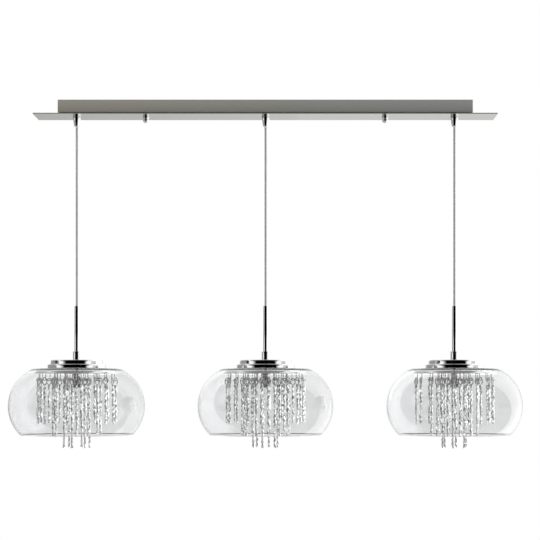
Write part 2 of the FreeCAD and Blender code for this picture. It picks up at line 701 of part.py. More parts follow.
def clamp_nut():
    """The hexagon nut that draws cap, glass and pan together."""
    bore = cylinder(NIPPLE_DIAMETER + 2 * SLIP_CLEARANCE, NUT_BOTTOM_Z, PAN_UNDER_Z)
    return hexagon(CLAMP_NUT_FLATS, NUT_BOTTOM_Z, PAN_UNDER_Z).cut(bore)


# ---------------------------------------------------------------- strands
def twisted_bar(low, high, turns):
    """A square bar twisted an eighth of a turn at each step, in flat facets."""
    radius = STRAND_DIAMETER / 2
    sections = []
    for level in range(turns + 1):
        height = high + (low - high) * level / turns
        section = []
        for corner in range(STRAND_SIDES):
            angle = 2 * math.pi * (corner + level / 2) / STRAND_SIDES
            section.append(Vector(radius * math.cos(angle), radius * math.sin(angle), height))
        sections.append(section)
    faces = []
    for upper, lower in zip(sections, sections[1:]):
        for side in range(STRAND_SIDES):
            after = (side + 1) % STRAND_SIDES
            for corners in ((upper[side], upper[after], lower[side]),
                            (lower[side], upper[after], lower[after])):
                faces.append(Part.Face(Part.makePolygon([*corners, corners[0]])))
    for end in (sections[0], sections[-1]):
        faces.append(Part.Face(Part.makePolygon([*end, end[0]])))
    return Part.Solid(Part.Shell(faces))


def eye():
    """The eye loop at a strand's top: an upright six-sided ring facing outwards."""
    rings = []
    for inset in (0.0, EYE_BAR):
        wide = EYE_WIDTH / 2 - inset
        narrow = EYE_WIDTH / 4 - inset * math.tan(math.pi / 8)
        top = EYE_TOP_Z - inset
        bottom = EYE_BOTTOM_Z + inset
        middle = (top + bottom) / 2
        outline = [(-narrow, top), (narrow, top), (wide, middle),
                   (narrow, bottom), (-narrow, bottom), (-wide, middle), (-narrow, top)]
        corners = [Vector(-EYE_DEPTH / 2, y, z) for y, z in outline]
        rings.append(Part.Face(Part.makePolygon(corners)).extrude(Vector(EYE_DEPTH, 0, 0)))
    return rings[0].cut(rings[1])


def strands(ring):
    """One ring of hanging strands of one length."""
    bar = twisted_bar(ring["bottom"], EYE_BOTTOM_Z + EYE_BAR / 2, ring["turns"])
    strand = bar.fuse(eye())
    return around(strand, ring["count"], PAN_DIAMETER * ring["share"], ring["phase"])


# ---------------------------------------------------------------- lamp
def lamp_holder():
    """The ceramic holder on the nipple's end, with its slot for the lamp's base."""
    neck_z = HOLDER_TOP_Z - HOLDER_HEAD_HEIGHT
    head = cylinder(HOLDER_HEAD_DIAMETER, neck_z, HOLDER_TOP_Z)
    body = cylinder(HOLDER_DIAMETER, HOLDER_BOTTOM_Z, neck_z)
    thread = cylinder(NIPPLE_DIAMETER + 2 * SLIP_CLEARANCE, NIPPLE_END_Z, HOLDER_TOP_Z)
    mouth_top = neck_z - HOLDER_FLOOR
    mouth = block(HOLDER_SLOT_WIDTH, HOLDER_SLOT_DEPTH, HOLDER_BOTTOM_Z, mouth_top)
    return head.fuse(body).cut(thread).cut(mouth).removeSplitter()


def lamp():
    """The capsule lamp: a flat pinched base and a round-ended bulb."""
    mouth_top = HOLDER_TOP_Z - HOLDER_HEAD_HEIGHT - HOLDER_FLOOR
    base_low = HOLDER_BOTTOM_Z - LAMP_SHOULDER
    base = block(LAMP_BASE_WIDTH, LAMP_BASE_DEPTH, base_low, mouth_top)
    radius = LAMP_DIAMETER / 2
    top = HOLDER_BOTTOM_Z - HOLE_CLEARANCE
    low = top - LAMP_LENGTH
    outline = lines([
        point(0, low), point(0, top), point(radius - LAMP_SHOULDER, top),
        point(radius, top - LAMP_SHOULDER), point(radius, low + radius)])
    outline.append(dome(radius, low + radius, low))
    return turned(outline).fuse(base).removeSplitter()


# ---------------------------------------------------------------- the whole part
PENDANT_PIECES = {
    "cord_grip": cord_grip,
    "cable_bush": cable_bush,
    "cable": cable,
    "stem_tube": stem_tube,
    "stem_coupler": stem_coupler,
    "cap_cup": cap_cup,
    "cap_flange": cap_flange,
    "cap_screws": cap_screws,
    "glass_gaskets": glass_gaskets,
    "glass_shade": glass_shade,
    "carrier_pan": carrier_pan,
    "clamp_nut": clamp_nut,
    "lamp_holder": lamp_holder,
    "lamp": lamp,
}

CANOPY_PIECES = {
    "ceiling_bracket": ceiling_bracket,
    "bracket_studs": bracket_studs,
    "canopy_box": canopy_box,
    "canopy_plate": canopy_plate,
    "plate_spacers": plate_spacers,
    "ball_nuts": ball_nuts,
    "grip_lock_nuts": grip_lock_nuts,
    "terminal_block": terminal_block,
    "inner_leads": inner_leads,
}


def as_shape(result):
    """One shape from a shape or a list of solids."""
    if isinstance(result, list):
        return Part.makeCompound(result)
    return result


def write(name, shape):
    """One sub-part, in a file of its own."""
    shape.exportStep(os.path.join("parts", name + ".step"))


def main():
    """Builds every sub-part once and places the pendants along the bar."""
    os.makedirs("parts", exist_ok=True)
    for name, make in CANOPY_PIECES.items():
        write(name, as_shape(make()))
    pendant = {name: as_shape(make()) for name, make in PENDANT_PIECES.items()}
    for length, ring in STRAND_RINGS.items():
        pendant["strands_" + length] = as_shape(strands(ring))
    for side, x in pendant_places().items():
        for name, shape in pendant.items():
            copy = shape.copy()
            copy.translate(Vector(x, 0, 0))
            write(name + "_" + side, copy)


main()
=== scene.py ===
"""Looks of the three-light island pendant: its finishes, hanging cables, clear glass
shades and twisted strands, set round the fixed frame. Metres, in the frame's own axes."""
import json
import math
import random

import bpy
from mathutils import Matrix, Vector


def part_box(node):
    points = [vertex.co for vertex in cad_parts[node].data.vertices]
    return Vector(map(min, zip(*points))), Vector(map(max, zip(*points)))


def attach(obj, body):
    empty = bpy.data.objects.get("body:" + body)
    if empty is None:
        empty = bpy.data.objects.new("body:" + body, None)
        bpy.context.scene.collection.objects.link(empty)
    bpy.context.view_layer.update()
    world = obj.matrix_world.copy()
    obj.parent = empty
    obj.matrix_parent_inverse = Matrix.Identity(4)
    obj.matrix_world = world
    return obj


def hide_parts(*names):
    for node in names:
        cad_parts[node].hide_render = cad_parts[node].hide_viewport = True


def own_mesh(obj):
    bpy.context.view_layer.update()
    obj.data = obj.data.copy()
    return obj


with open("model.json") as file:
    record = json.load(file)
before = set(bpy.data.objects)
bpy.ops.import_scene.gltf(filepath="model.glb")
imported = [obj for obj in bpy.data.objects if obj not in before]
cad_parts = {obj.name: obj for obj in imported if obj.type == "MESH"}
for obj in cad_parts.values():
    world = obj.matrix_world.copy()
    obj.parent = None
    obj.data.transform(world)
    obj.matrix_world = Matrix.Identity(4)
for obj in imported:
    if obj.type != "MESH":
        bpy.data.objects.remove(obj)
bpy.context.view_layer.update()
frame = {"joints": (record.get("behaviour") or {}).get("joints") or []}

SIDES = ("left", "middle", "right")
MM = 0.001


# ---------------------------------------------------------------- places from the frame
def centre_x(part):
    """The X of the middle of a node."""
    low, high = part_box(part)
    return (low[0] + high[0]) / 2


def levels(part):
    """The lowest and highest Z of a node."""
    low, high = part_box(part)
    return low[2], high[2]


def radius_of(part):
    """Half of a node's width along X."""
    low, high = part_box(part)
    return (high[0] - low[0]) / 2


PENDANT_X = {side: centre_x("stem_tube_" + side) for side in SIDES}
SWIVEL = {j["child"]: j["pos_m"] for j in frame["joints"] if "pos_m" in j}

# ---------------------------------------------------------------- camera
FOCAL_PIXELS = 1450.0
IMAGE_PIXELS = 540.0
SENSOR_WIDTH = 36.0
CAMERA_DISTANCE = 2.996
CAMERA_Z = -0.5838
CAMERA_REACH = 60.0
HORIZON_PIXEL = 385.0
OBJECT_PIXEL_X = 265.6
SIDE_SHIFT = -0.05


def make_camera():
    """The photograph's view: level, lifted by a shift, a little to the right."""
    data = bpy.data.cameras.new("camera")
    data.sensor_width = SENSOR_WIDTH
    data.lens = FOCAL_PIXELS / IMAGE_PIXELS * SENSOR_WIDTH
    data.shift_x = SIDE_SHIFT
    data.shift_y = (HORIZON_PIXEL - IMAGE_PIXELS / 2) / IMAGE_PIXELS
    data.clip_end = CAMERA_REACH
    camera = bpy.data.objects.new("camera", data)
    bpy.context.scene.collection.objects.link(camera)
    vanishing_pixel = IMAGE_PIXELS / 2 - SIDE_SHIFT * IMAGE_PIXELS
    metres_per_pixel = CAMERA_DISTANCE / FOCAL_PIXELS
    x = (vanishing_pixel - OBJECT_PIXEL_X) * metres_per_pixel
    camera.location = (x, -CAMERA_DISTANCE, CAMERA_Z)
    camera.rotation_euler = (math.pi / 2, 0.0, 0.0)
    bpy.context.scene.camera = camera


make_camera()

# ---------------------------------------------------------------- mesh helpers
# A mesh is a pair of lists here: its vertices and its faces. A profile is a list of
# (radius, z) points.
SMOOTH_ANGLE = 35.0
WIRE_SMOOTH_ANGLE = 50.0
ON_AXIS = 1e-7
SEGMENTS = {
    "ball_nuts": 48, "cord_grip": 64, "cable_bush": 40, "stem_tube": 48, "stem_coupler": 56,
    "cap_cup": 128, "cap_flange": 128, "cap_screws": 32, "glass_gaskets": 96,
    "glass_shade": 160, "carrier_pan": 144, "clamp_nut": 60, "lamp_holder": 56, "lamp": 44,
}


def new_piece(name, mesh, body, material, nodes=(), smooth_angle=SMOOTH_ANGLE):
    """A mesh piece that rides on a body, wears a material and may stand for CAD nodes."""
    vertices, faces = mesh
    data = bpy.data.meshes.new(name)
    data.from_pydata(vertices, [], faces)
    data.validate()
    data.materials.append(material)
    piece = bpy.data.objects.new(name, data)
    bpy.context.scene.collection.objects.link(piece)
    data.shade_smooth()
    data.set_sharp_from_angle(angle=math.radians(smooth_angle))
    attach(piece, body)
    if nodes:
        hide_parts(*nodes)
    return piece


def pendant_piece(name, side, mesh, material, stands_for, smooth_angle=SMOOTH_ANGLE):
    """A piece that hangs with its pendant and stands for one CAD node there."""
    new_piece(name + "_" + side, mesh, "pendant_" + side, material,
              [stands_for + "_" + side], smooth_angle)


def arc_points(centre, radius, start, end, steps):
    """Profile points along an arc; angles in degrees, from outwards to upwards."""
    points = []
    for step in range(steps + 1):
        angle = math.radians(start + (end - start) * step / steps)
        points.append((centre[0] + radius * math.cos(angle),
                       centre[1] + radius * math.sin(angle)))
    return points


def lathe(profile, segments, x=0.0, closed=True):
    """The mesh of a profile turned about an upright axis at x."""
    vertices = []
    rings = []
    for radius, z in profile:
        if radius < ON_AXIS:
            vertices.append((x, 0.0, z))
            rings.append([len(vertices) - 1])
            continue
        ring = []
        for segment in range(segments):
            angle = 2 * math.pi * segment / segments
            ring.append(len(vertices))
            vertices.append((x + radius * math.cos(angle), radius * math.sin(angle), z))
        rings.append(ring)
    faces = []
    pairs = list(zip(rings, rings[1:]))
    if closed:
        pairs.append((rings[-1], rings[0]))
    for a, b in pairs:
        for segment in range(segments):
            after = (segment + 1) % segments
            if len(a) == 1 and len(b) == 1:
                break
            if len(a) == 1:
                faces.append((a[0], b[after], b[segment]))
            elif len(b) == 1:
                faces.append((a[segment], a[after], b[0]))
            else:
                faces.append((a[segment], a[after], b[after], b[segment]))
    return vertices, faces


def outward(mesh):
    """A closed mesh, turned over if it is inside out."""
    vertices, faces = mesh
    volume = 0.0
    for face in faces:
        a = Vector(vertices[face[0]])
        for second, third in zip(face[1:], face[2:]):
            volume += a.dot(Vector(vertices[second]).cross(Vector(vertices[third])))
    if volume < 0:
        faces = [tuple(reversed(face)) for face in faces]
    return vertices, faces


def turned_piece(name, side, profile, material, stands_for, closed=True,
                 smooth_angle=SMOOTH_ANGLE):
    """A turned piece about a pendant's axis."""
    mesh = outward(lathe(profile, SEGMENTS[stands_for], PENDANT_X[side], closed))
    pendant_piece(name, side, mesh, material, stands_for, smooth_angle)


def swept(path, radius, sides, closed=False):
    """The mesh of a round bar along points; an open one has flat ends."""
    count = len(path)
    tangents = []
    for i in range(count):
        before = path[i - 1] if i or closed else path[i]
        after = path[(i + 1) % count] if i + 1 < count or closed else path[i]
        tangents.append((after - before).normalized())
    normal = tangents[0].orthogonal().normalized()
    vertices = []
    for i, (place, tangent) in enumerate(zip(path, tangents)):
        if i:
            normal = (normal - tangent * normal.dot(tangent)).normalized()
        across = tangent.cross(normal)
        for side in range(sides):
            angle = 2 * math.pi * side / sides
            out = normal * math.cos(angle) + across * math.sin(angle)
            vertices.append(place + out * radius)
    faces = []
    for i in range(count if closed else count - 1):
        j = (i + 1) % count
        for side in range(sides):
            after = (side + 1) % sides
            faces.append((i * sides + side, i * sides + after, j * sides + after,
                          j * sides + side))
    if not closed:
        faces.append(tuple(reversed(range(sides))))
        faces.append(tuple(range((count - 1) * sides, count * sides)))
    return vertices, faces


def placed(mesh, place):
    """A mesh moved by a matrix."""
    vertices, faces = mesh
    return [place @ Vector(v) for v in vertices], faces


def joined(parts):
    """One mesh from several."""
    vertices = []
    faces = []
    for part_vertices, part_faces in parts:
        start = len(vertices)
        vertices += [tuple(v) for v in part_vertices]
        faces += [tuple(index + start for index in face) for face in part_faces]
    return vertices, faces


# ---------------------------------------------------------------- shader helpers
def node(tree, kind, settings=None, **inputs):
    """A shader node. n0, n1 … name sockets by number; each takes a value or an output."""
    made = tree.nodes.new("ShaderNode" + kind)
    for name, value in (settings or {}).items():
        setattr(made, name, value)
    for name, value in inputs.items():
        numbered = name[0] == "n" and name[1:].isdigit()
        key = int(name[1:]) if numbered else name.replace("_", " ")
        if isinstance(value, bpy.types.NodeSocket):
            tree.links.new(value, made.inputs[key])
        else:
            made.inputs[key].default_value = value
    return made


def surface(name, base, metallic=0.0, **fixed):
    """A new material with a Principled surface whose even values are set on its sockets."""
    material = bpy.data.materials.new(name)
    material.use_nodes = True
    tree = material.node_tree
    tree.nodes.clear()
    output = tree.nodes.new("ShaderNodeOutputMaterial")
    shader = tree.nodes.new("ShaderNodeBsdfPrincipled")
    tree.links.new(shader.outputs[0], output.inputs[0])
    shader.inputs["Base Color"].default_value = (*base, 1.0)
    shader.inputs["Metallic"].default_value = metallic
    for key, value in fixed.items():
        shader.inputs[key.replace("_", " ")].default_value = value
    return material, tree, shader


def feed(tree, shader, **sources):
    """Links patterns to the sockets of a surface."""
    for key, source in sources.items():
        tree.links.new(source, shader.inputs[key.replace("_", " ")])


def object_space(tree, stretch=(1.0, 1.0, 1.0)):
    """Coordinates in metres, stretched along each axis."""
    place = node(tree, "TexCoord")
    scaled = node(tree, "Mapping", Scale=stretch, Vector=place.outputs["Object"])
    return scaled.outputs[0]


def axes_of(tree, vector):
    """The X, Y and Z outputs of a vector."""
    return node(tree, "SeparateXYZ", Vector=vector).outputs


def noise(tree, where, scale, detail=3.0, roughness=0.55):
    """A noise value, 0 to 1."""
    made = node(tree, "TexNoise", Vector=where, Scale=scale, Detail=detail, Roughness=roughness)
    return made.outputs["Fac"]


def spread(tree, value, low, high, start=0.3, end=0.7):
    """A value that runs from low to high while another runs from start to end."""
    return node(tree, "MapRange", n0=value, n1=start, n2=end, n3=low, n4=high).outputs[0]


def maths(tree, operation, first, second=0.0):
    """The result of one operation on one or two values."""
    return node(tree, "Math", {"operation": operation}, n0=first, n1=second).outputs[0]


def blend_colours(tree, factor, first, second):
    """A colour between two, by a pattern; each is a colour or an output."""
    ends = [(*end, 1.0) if isinstance(end, tuple) else end for end in (first, second)]
    made = node(tree, "Mix", {"data_type": "RGBA"}, n0=factor, n6=ends[0], n7=ends[1])
    return made.outputs[2]


def scaled_colour(tree, colour, factor):
    """A colour times a factor."""
    return node(tree, "VectorMath", {"operation": "SCALE"}, n0=colour, Scale=factor).outputs[0]


def bumped(tree, shader, height, strength, distance):
    """Small relief on a surface."""
    made = node(tree, "Bump", Strength=strength, Distance=distance, Height=height)
    feed(tree, shader, Normal=made.outputs[0])


# ---------------------------------------------------------------- materials
BAR_GRAIN = (3.0, 260.0, 260.0)
BRUSHED_GRAIN = (2.0, 700.0, 700.0)
CUT_EDGE_PAINTED_SHADE = (0.115, 0.112, 0.1)
BOX_END_X = 0.4
BOX_PAINTED_SHADE = (0.78, 1.03)
BOX_PAINTED_SHADE_LEVELS = (-0.027, -0.004)
BRAID_TURNS = 6.0
BRAID_CLIMB = 1500.0
WIRE_PAINTED_REFLECTION_STRETCH = (1.0, 1.0, 0.28)
WIRE_EYE_PAINTED_SHADE = 0.5
WIRE_EYE_PAINTED_SHADE_LEVELS = (-0.592, -0.58)
GLASS_WAVES = (1.0, 1.0, 2.2)


def chrome_material(name="mirror_chrome", tone=0.86):
    """Mirror chrome with faint cleaning haze."""
    material, tree, shader = surface(name, (tone, tone, tone * 1.005), 1.0)
    where = object_space(tree)
    haze = noise(tree, where, 38.0, 4.0)
    feed(tree, shader, Roughness=spread(tree, haze, 0.025, 0.07))
    bumped(tree, shader, noise(tree, where, 900.0, 2.0), 0.04, 0.04 * MM)
    return material


def plate_material():
    """The bar plate's polished sheet: a darker mirror with a fine grain along the bar,
    and a dull cut edge, painted dark as painted shade for the gap under the box."""
    material, tree, shader = surface("polished_sheet", (0.46, 0.46, 0.445), 1.0)
    grain = noise(tree, object_space(tree, BAR_GRAIN), 6.0, 4.0)
    tone = blend_colours(tree, noise(tree, object_space(tree), 3.0),
                         (0.435, 0.435, 0.42), (0.485, 0.485, 0.475))
    normal = axes_of(tree, node(tree, "NewGeometry").outputs["Normal"])
    face = spread(tree, maths(tree, "ABSOLUTE", normal["Z"]), 0.0, 1.0, 0.4, 0.8)
    polish = spread(tree, grain, 0.04, 0.11)
    worn = node(tree, "Mix", {"data_type": "FLOAT"}, n0=face, n2=0.45, n3=polish)
    # painted shade: the cut edge is painted near black for the dark gap between plate and box
    feed(tree, shader, Base_Color=blend_colours(tree, face, CUT_EDGE_PAINTED_SHADE, tone), Metallic=face,
         Roughness=worn.outputs[0])
    bumped(tree, shader, grain, 0.05, 0.04 * MM)
    return material


def satin_material():
    """Satin nickel on the ceiling box: brushed along the bar, warmer at its left end, and
    darker towards its foot with painted shade."""
    material, tree, shader = surface("satin_nickel", (0.5, 0.49, 0.45), 0.35)
    grain = noise(tree, object_space(tree, BRUSHED_GRAIN), 5.0, 5.0, 0.7)
    place = axes_of(tree, node(tree, "TexCoord").outputs["Object"])
    colour = blend_colours(tree, spread(tree, place["X"], 0.0, 1.0, -BOX_END_X, BOX_END_X),
                           (0.275, 0.262, 0.222), (0.295, 0.296, 0.283))
    # painted shade: the box's colour darkens towards its foot
    colour = scaled_colour(tree, colour, spread(tree, place["Z"], *BOX_PAINTED_SHADE, *BOX_PAINTED_SHADE_LEVELS))
    streaks = blend_colours(tree, grain, (0.7, 0.7, 0.7), (1.0, 1.0, 1.0))
    streaked = node(tree, "Mix", {"data_type": "RGBA", "blend_type": "MULTIPLY"},
                    n0=0.35, n6=colour, n7=streaks)
    feed(tree, shader, Base_Color=streaked.outputs[2],
         Roughness=spread(tree, grain, 0.3, 0.42))
    bumped(tree, shader, grain, 0.12, 0.06 * MM)
    return material


def zinc_material():
    """Zinc-plated steel of the hidden bracket and nuts, with a faint spangle."""
    material, tree, shader = surface("zinc_plated_steel", (0.6, 0.6, 0.58), 1.0)
    cells = node(tree, "TexVoronoi", Vector=object_space(tree), Scale=160.0)
    tone = blend_colours(tree, cells.outputs["Distance"], (0.5, 0.5, 0.47), (0.7, 0.7, 0.69))
    rough = noise(tree, object_space(tree), 60.0)
    feed(tree, shader, Base_Color=tone, Roughness=spread(tree, rough, 0.25, 0.42))
    return material


def braid_material():
    """A tinned braid seen through a clear, glossy cable jacket."""
    material, tree, shader = surface(
        "clear_jacket_over_braid", (0.4, 0.4, 0.4), 0.35, Roughness=0.3, Coat_Weight=1.0,
        Coat_Roughness=0.04)
    normal = axes_of(tree, node(tree, "NewGeometry").outputs["Normal"])
    height = axes_of(tree, node(tree, "TexCoord").outputs["Object"])["Z"]
    angle = maths(tree, "ARCTAN2", normal["Y"], normal["X"])
    around = maths(tree, "MULTIPLY", angle, BRAID_TURNS)
    climb = maths(tree, "MULTIPLY", height, BRAID_CLIMB)
    right, left = (maths(tree, "SINE", maths(tree, way, around, climb))
                   for way in ("ADD", "SUBTRACT"))
    weave = spread(tree, maths(tree, "MULTIPLY", right, left), 0.0, 1.0, -0.6, 0.6)
    uneven = noise(tree, object_space(tree), 300.0)
    tone = blend_colours(tree, maths(tree, "MULTIPLY", weave, uneven),
                         (0.2, 0.2, 0.195), (0.8, 0.8, 0.79))
    feed(tree, shader, Base_Color=tone)
    bumped(tree, shader, weave, 0.3, 0.2 * MM)
    return material


def wire_material():
    """Bright drawn wire of the hanging strands, with painted dark streaks for the dark
    reflections along its twist, and painted shade darkening the eyes under the pan.
    """
    material, tree, shader = surface("bright_twisted_wire", (0.9, 0.9, 0.9), 1.0)
    where = object_space(tree)
    rough = noise(tree, where, 220.0)
    # painted reflection: dark streaks along the wire stand in for the dark reflections of its
    # twist
    painted_dark_reflections = noise(tree, object_space(tree, WIRE_PAINTED_REFLECTION_STRETCH), 460.0, 1.0)
    tone = blend_colours(tree, spread(tree, painted_dark_reflections, 0.0, 1.0, 0.33, 0.45),
                         (0.14, 0.14, 0.135), (1.0, 1.0, 1.0))
    level = axes_of(tree, node(tree, "TexCoord").outputs["Object"])["Z"]
    # painted shade: the wire's colour darkens towards the eyes, under the pan
    eye_painted_shade = spread(tree, level, 1.0, WIRE_EYE_PAINTED_SHADE, *WIRE_EYE_PAINTED_SHADE_LEVELS)
    feed(tree, shader, Base_Color=scaled_colour(tree, tone, eye_painted_shade),
         Roughness=spread(tree, rough, 0.03, 0.12))
    bumped(tree, shader, noise(tree, where, 320.0, 1.0), 0.6, 0.6 * MM)
    return material


def glass_material():
    """Clear blown glass: slightly grey, with long soft waves in its skin."""
    material, tree, shader = surface(
        "clear_glass", (0.875, 0.878, 0.882), Transmission_Weight=1.0, IOR=1.47)
    haze = noise(tree, object_space(tree), 20.0)
    feed(tree, shader, Roughness=spread(tree, haze, 0.0, 0.004))
    waves = noise(tree, object_space(tree, GLASS_WAVES), 14.0, 1.5)
    bumped(tree, shader, waves, 0.015, 1.2 * MM)
    return material


def gasket_material():
    """Clear silicone of the glass gaskets."""
    material, tree, shader = surface(
        "clear_silicone", (0.86, 0.87, 0.87), Transmission_Weight=0.7, IOR=1.41)
    rough = noise(tree, object_space(tree), 120.0)
    feed(tree, shader, Roughness=spread(tree, rough, 0.2, 0.4))
    return material


def ceramic_material():
    """Dark glazed ceramic of the lamp holders."""
    material, tree, shader = surface(
        "glazed_ceramic", (0.12, 0.11, 0.1), Coat_Weight=0.6, Coat_Roughness=0.12)
    speck = noise(tree, object_space(tree), 420.0, 4.0)
    tone = blend_colours(tree, speck, (0.2, 0.19, 0.18), (0.3, 0.285, 0.27))
    feed(tree, shader, Base_Color=tone, Roughness=spread(tree, speck, 0.3, 0.5))
    return material


def moulded_material(name, dark, light):
    """A moulded plastic with a fine grain."""
    material, tree, shader = surface(name, light)
    where = object_space(tree)
    grain = noise(tree, where, 500.0)
    feed(tree, shader, Base_Color=blend_colours(tree, noise(tree, where, 60.0), dark, light),
         Roughness=spread(tree, grain, 0.35, 0.55))
    bumped(tree, shader, grain, 0.1, 0.05 * MM)
    return material


def lamp_material():
    """A frosted capsule."""
    material, tree, shader = surface(
        "frosted_capsule", (0.99, 0.985, 0.97), Transmission_Weight=0.96, IOR=1.3)
    frost = noise(tree, object_space(tree), 800.0)
    feed(tree, shader, Roughness=spread(tree, frost, 0.08, 0.16))
    bumped(tree, shader, frost, 0.15, 0.05 * MM)
    return material


CHROME = chrome_material()
PLATE = plate_material()
SATIN = satin_material()
ZINC = zinc_material()
BRAID = braid_material()
WIRE = wire_material()
GLASS = glass_material()
GASKET = gasket_material()
CERAMIC = ceramic_material()
NYLON = moulded_material("natural_nylon", (0.62, 0.61, 0.58), (0.78, 0.77, 0.74))
TERMINAL = moulded_material("terminal_plastic", (0.7, 0.69, 0.65), (0.82, 0.81, 0.78))
DARK_STEEL = chrome_material("dark_screw_steel", 0.35)
LAMP = lamp_material()
# painted shade: a darker copy of the chrome darkens the hooks crowded under the pan
HOOK_STEEL_PAINTED_SHADE = chrome_material("bent_hook_wire_painted_shade", 0.42)
# painted shade: a darker copy of the chrome darkens the pan inside the glass
PAN_CHROME_PAINTED_SHADE = chrome_material("pan_chrome_painted_shade", 0.52)

# ---------------------------------------------------------------- ceiling box and bar
DRESSED_NODES = {
    "canopy_plate": PLATE, "canopy_box": SATIN, "ceiling_bracket": ZINC,
    "bracket_studs": ZINC, "plate_spacers": ZINC, "grip_lock_nuts": ZINC,
    "terminal_block": TERMINAL, "inner_leads": BRAID,
}


def ceiling_parts():
    """Better materials on the CAD nodes at the ceiling, whose shapes stay."""
    for name, material in DRESSED_NODES.items():
        slots = bpy.data.objects[name].data.materials
        slots.clear()
        slots.append(material)


def ball_nut_profile(low, high, radius):
    """The outline of one two-part ball nut, from its collar down to its round head."""
    collar = high - 4.4 * MM
    waist = collar - 1.2 * MM
    edge = 0.8 * MM
    bevel = 0.3 * MM
    neck = 4.5 * MM
    profile = [(0.0, high), (radius - bevel, high), (radius, high - bevel)]
    profile += arc_points((radius - edge, collar + edge), edge, 0, -90, 4)
    profile += [(neck, collar), (neck, waist)]
    profile += arc_points((radius - edge, waist - edge), edge, 90, 0, 4)
    profile += arc_points((0.0, low + radius), radius, 0, -90, 14)
    profile[-1] = (0.0, low)
    return profile


def ball_nuts():
    """Both ball nuts, turned with a groove between collar and head."""
    low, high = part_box("ball_nuts")
    radius = (high[1] - low[1]) / 2
    profile = ball_nut_profile(low[2], high[2], radius)
    parts = []
    for x in (low[0] + radius, high[0] - radius):
        parts.append(outward(lathe(profile, SEGMENTS["ball_nuts"], x, closed=False)))
    new_piece("ball_nuts_turned", joined(parts), "root", CHROME, ["ball_nuts"])


def curve_through(a, b, c, steps):
    """Profile points on the parabola through three points."""
    points = []
    for step in range(steps + 1):
        t = step / steps
        weights = (2 * (t - 0.5) * (t - 1), -4 * t * (t - 1), 2 * t * (t - 0.5))
        points.append(tuple(sum(w * p[i] for w, p in zip(weights, (a, b, c)))
                            for i in (0, 1)))
    return points


def cord_grip(side):
    """One bullet-shaped grip; its mouth shows the bush."""
    name = "cord_grip_" + side
    low, high = levels(name)
    under = levels("canopy_plate")[0]
    rim = radius_of(name)
    neck = 4.8 * MM
    bore = 2.6 * MM
    mouth = 5.2 * MM
    middle = 6.8 * MM
    seat = 4.5 * MM
    edge = 0.35 * MM
    nose = 0.9 * MM
    shoulder = under - 3.0 * MM
    pivot = SWIVEL["bush_" + side][2]
    profile = [(bore, high), (neck, high), (neck, under), (rim - edge, under)]
    profile += arc_points((rim - edge, under - edge), edge, 60, 0, 3)
    profile += curve_through((rim, shoulder), (middle, (shoulder + low) / 2),
                             (mouth, low + nose), 14)
    profile += arc_points((mouth - nose, low + nose), nose, 0, -90, 5)[1:]
    profile += [(math.sqrt(seat ** 2 - (pivot - low) ** 2), low)]
    profile += arc_points((0.0, pivot), seat, -math.degrees(math.asin((pivot - low) / seat)),
                          math.degrees(math.acos(bore / seat)), 8)[1:]
    mesh = outward(lathe(profile, SEGMENTS["cord_grip"], PENDANT_X[side]))
    new_piece("cord_grip_turned_" + side, mesh, "root", CHROME, [name])


def cable_bush(side):
    """The round bush that turns in the grip's mouth."""
    name = "cable_bush_" + side
    x, _, z = SWIVEL["bush_" + side]
    radius = radius_of(name)
    bore = 1.2 * MM
    reach = math.degrees(math.acos(bore / radius))
    mesh = outward(lathe(arc_points((0.0, z), radius, -reach, reach, 18),
                         SEGMENTS["cable_bush"], x))
    new_piece("cable_bush_round_" + side, mesh, "bush_" + side, NYLON, [name])


# ---------------------------------------------------------------- cables
CABLE_SIDES = 20
CABLE_RINGS = 60


def cable(side):
    """A straight hanging cable."""
    name = "cable_" + side
    x = PENDANT_X[side]
    low, high = levels(name)
    radius = radius_of(name)
    route = [Vector((x, 0.0, z)) for z in (high, (low + high) / 2, low)]
    curve = bpy.data.curves.new(name + "_route", "CURVE")
    curve.dimensions = "3D"
    curve.resolution_u = CABLE_RINGS // 2
    spline = curve.splines.new("NURBS")
    spline.points.add(len(route) - 1)
    for item, place in zip(spline.points, route):
        item.co = (*place, 1.0)
    spline.order_u = 3
    spline.use_endpoint_u = True
    holder = bpy.data.objects.new(name + "_route", curve)
    bpy.context.scene.collection.objects.link(holder)
    bpy.context.view_layer.update()
    line = bpy.data.meshes.new_from_object(holder)
    path = [Vector(vertex.co) for vertex in line.vertices]
    bpy.data.objects.remove(holder)
    piece = new_piece("cable_jacket_" + side, swept(path, radius, CABLE_SIDES),
                      "hanging_cable_" + side, BRAID, [name], WIRE_SMOOTH_ANGLE)
    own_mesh(piece)


# ---------------------------------------------------------------- stem, coupler and cap
NIPPLE_RADIUS = 5.0 * MM
NIPPLE_HOLE = 5.1 * MM
THREAD_PITCH = 1.0 * MM
THREAD_DEPTH = 0.35 * MM


def stem(side):
    """The slim chrome stem, round at its top, where the cable goes in."""
    low, high = levels("stem_tube_" + side)
    radius = radius_of("stem_tube_" + side)
    seat = levels("cable_" + side)[0] - 0.1 * MM
    seat_foot = seat - 4 * MM
    passage = 1.5 * MM
    socket = radius_of("cable_" + side) + 0.3 * MM
    inner = radius - 1.0 * MM
    soft = 1.2 * MM
    bevel = 0.2 * MM
    profile = [(radius, low + bevel)]
    profile += arc_points((radius - soft, high - soft), soft, 0, 90, 6)
    profile += [(socket + bevel, high), (socket, high - bevel), (socket, seat),
                (passage, seat), (passage, seat_foot), (inner, seat_foot), (inner, low),
                (radius - bevel, low)]
    turned_piece("stem_turned", side, profile, CHROME, "stem_tube")


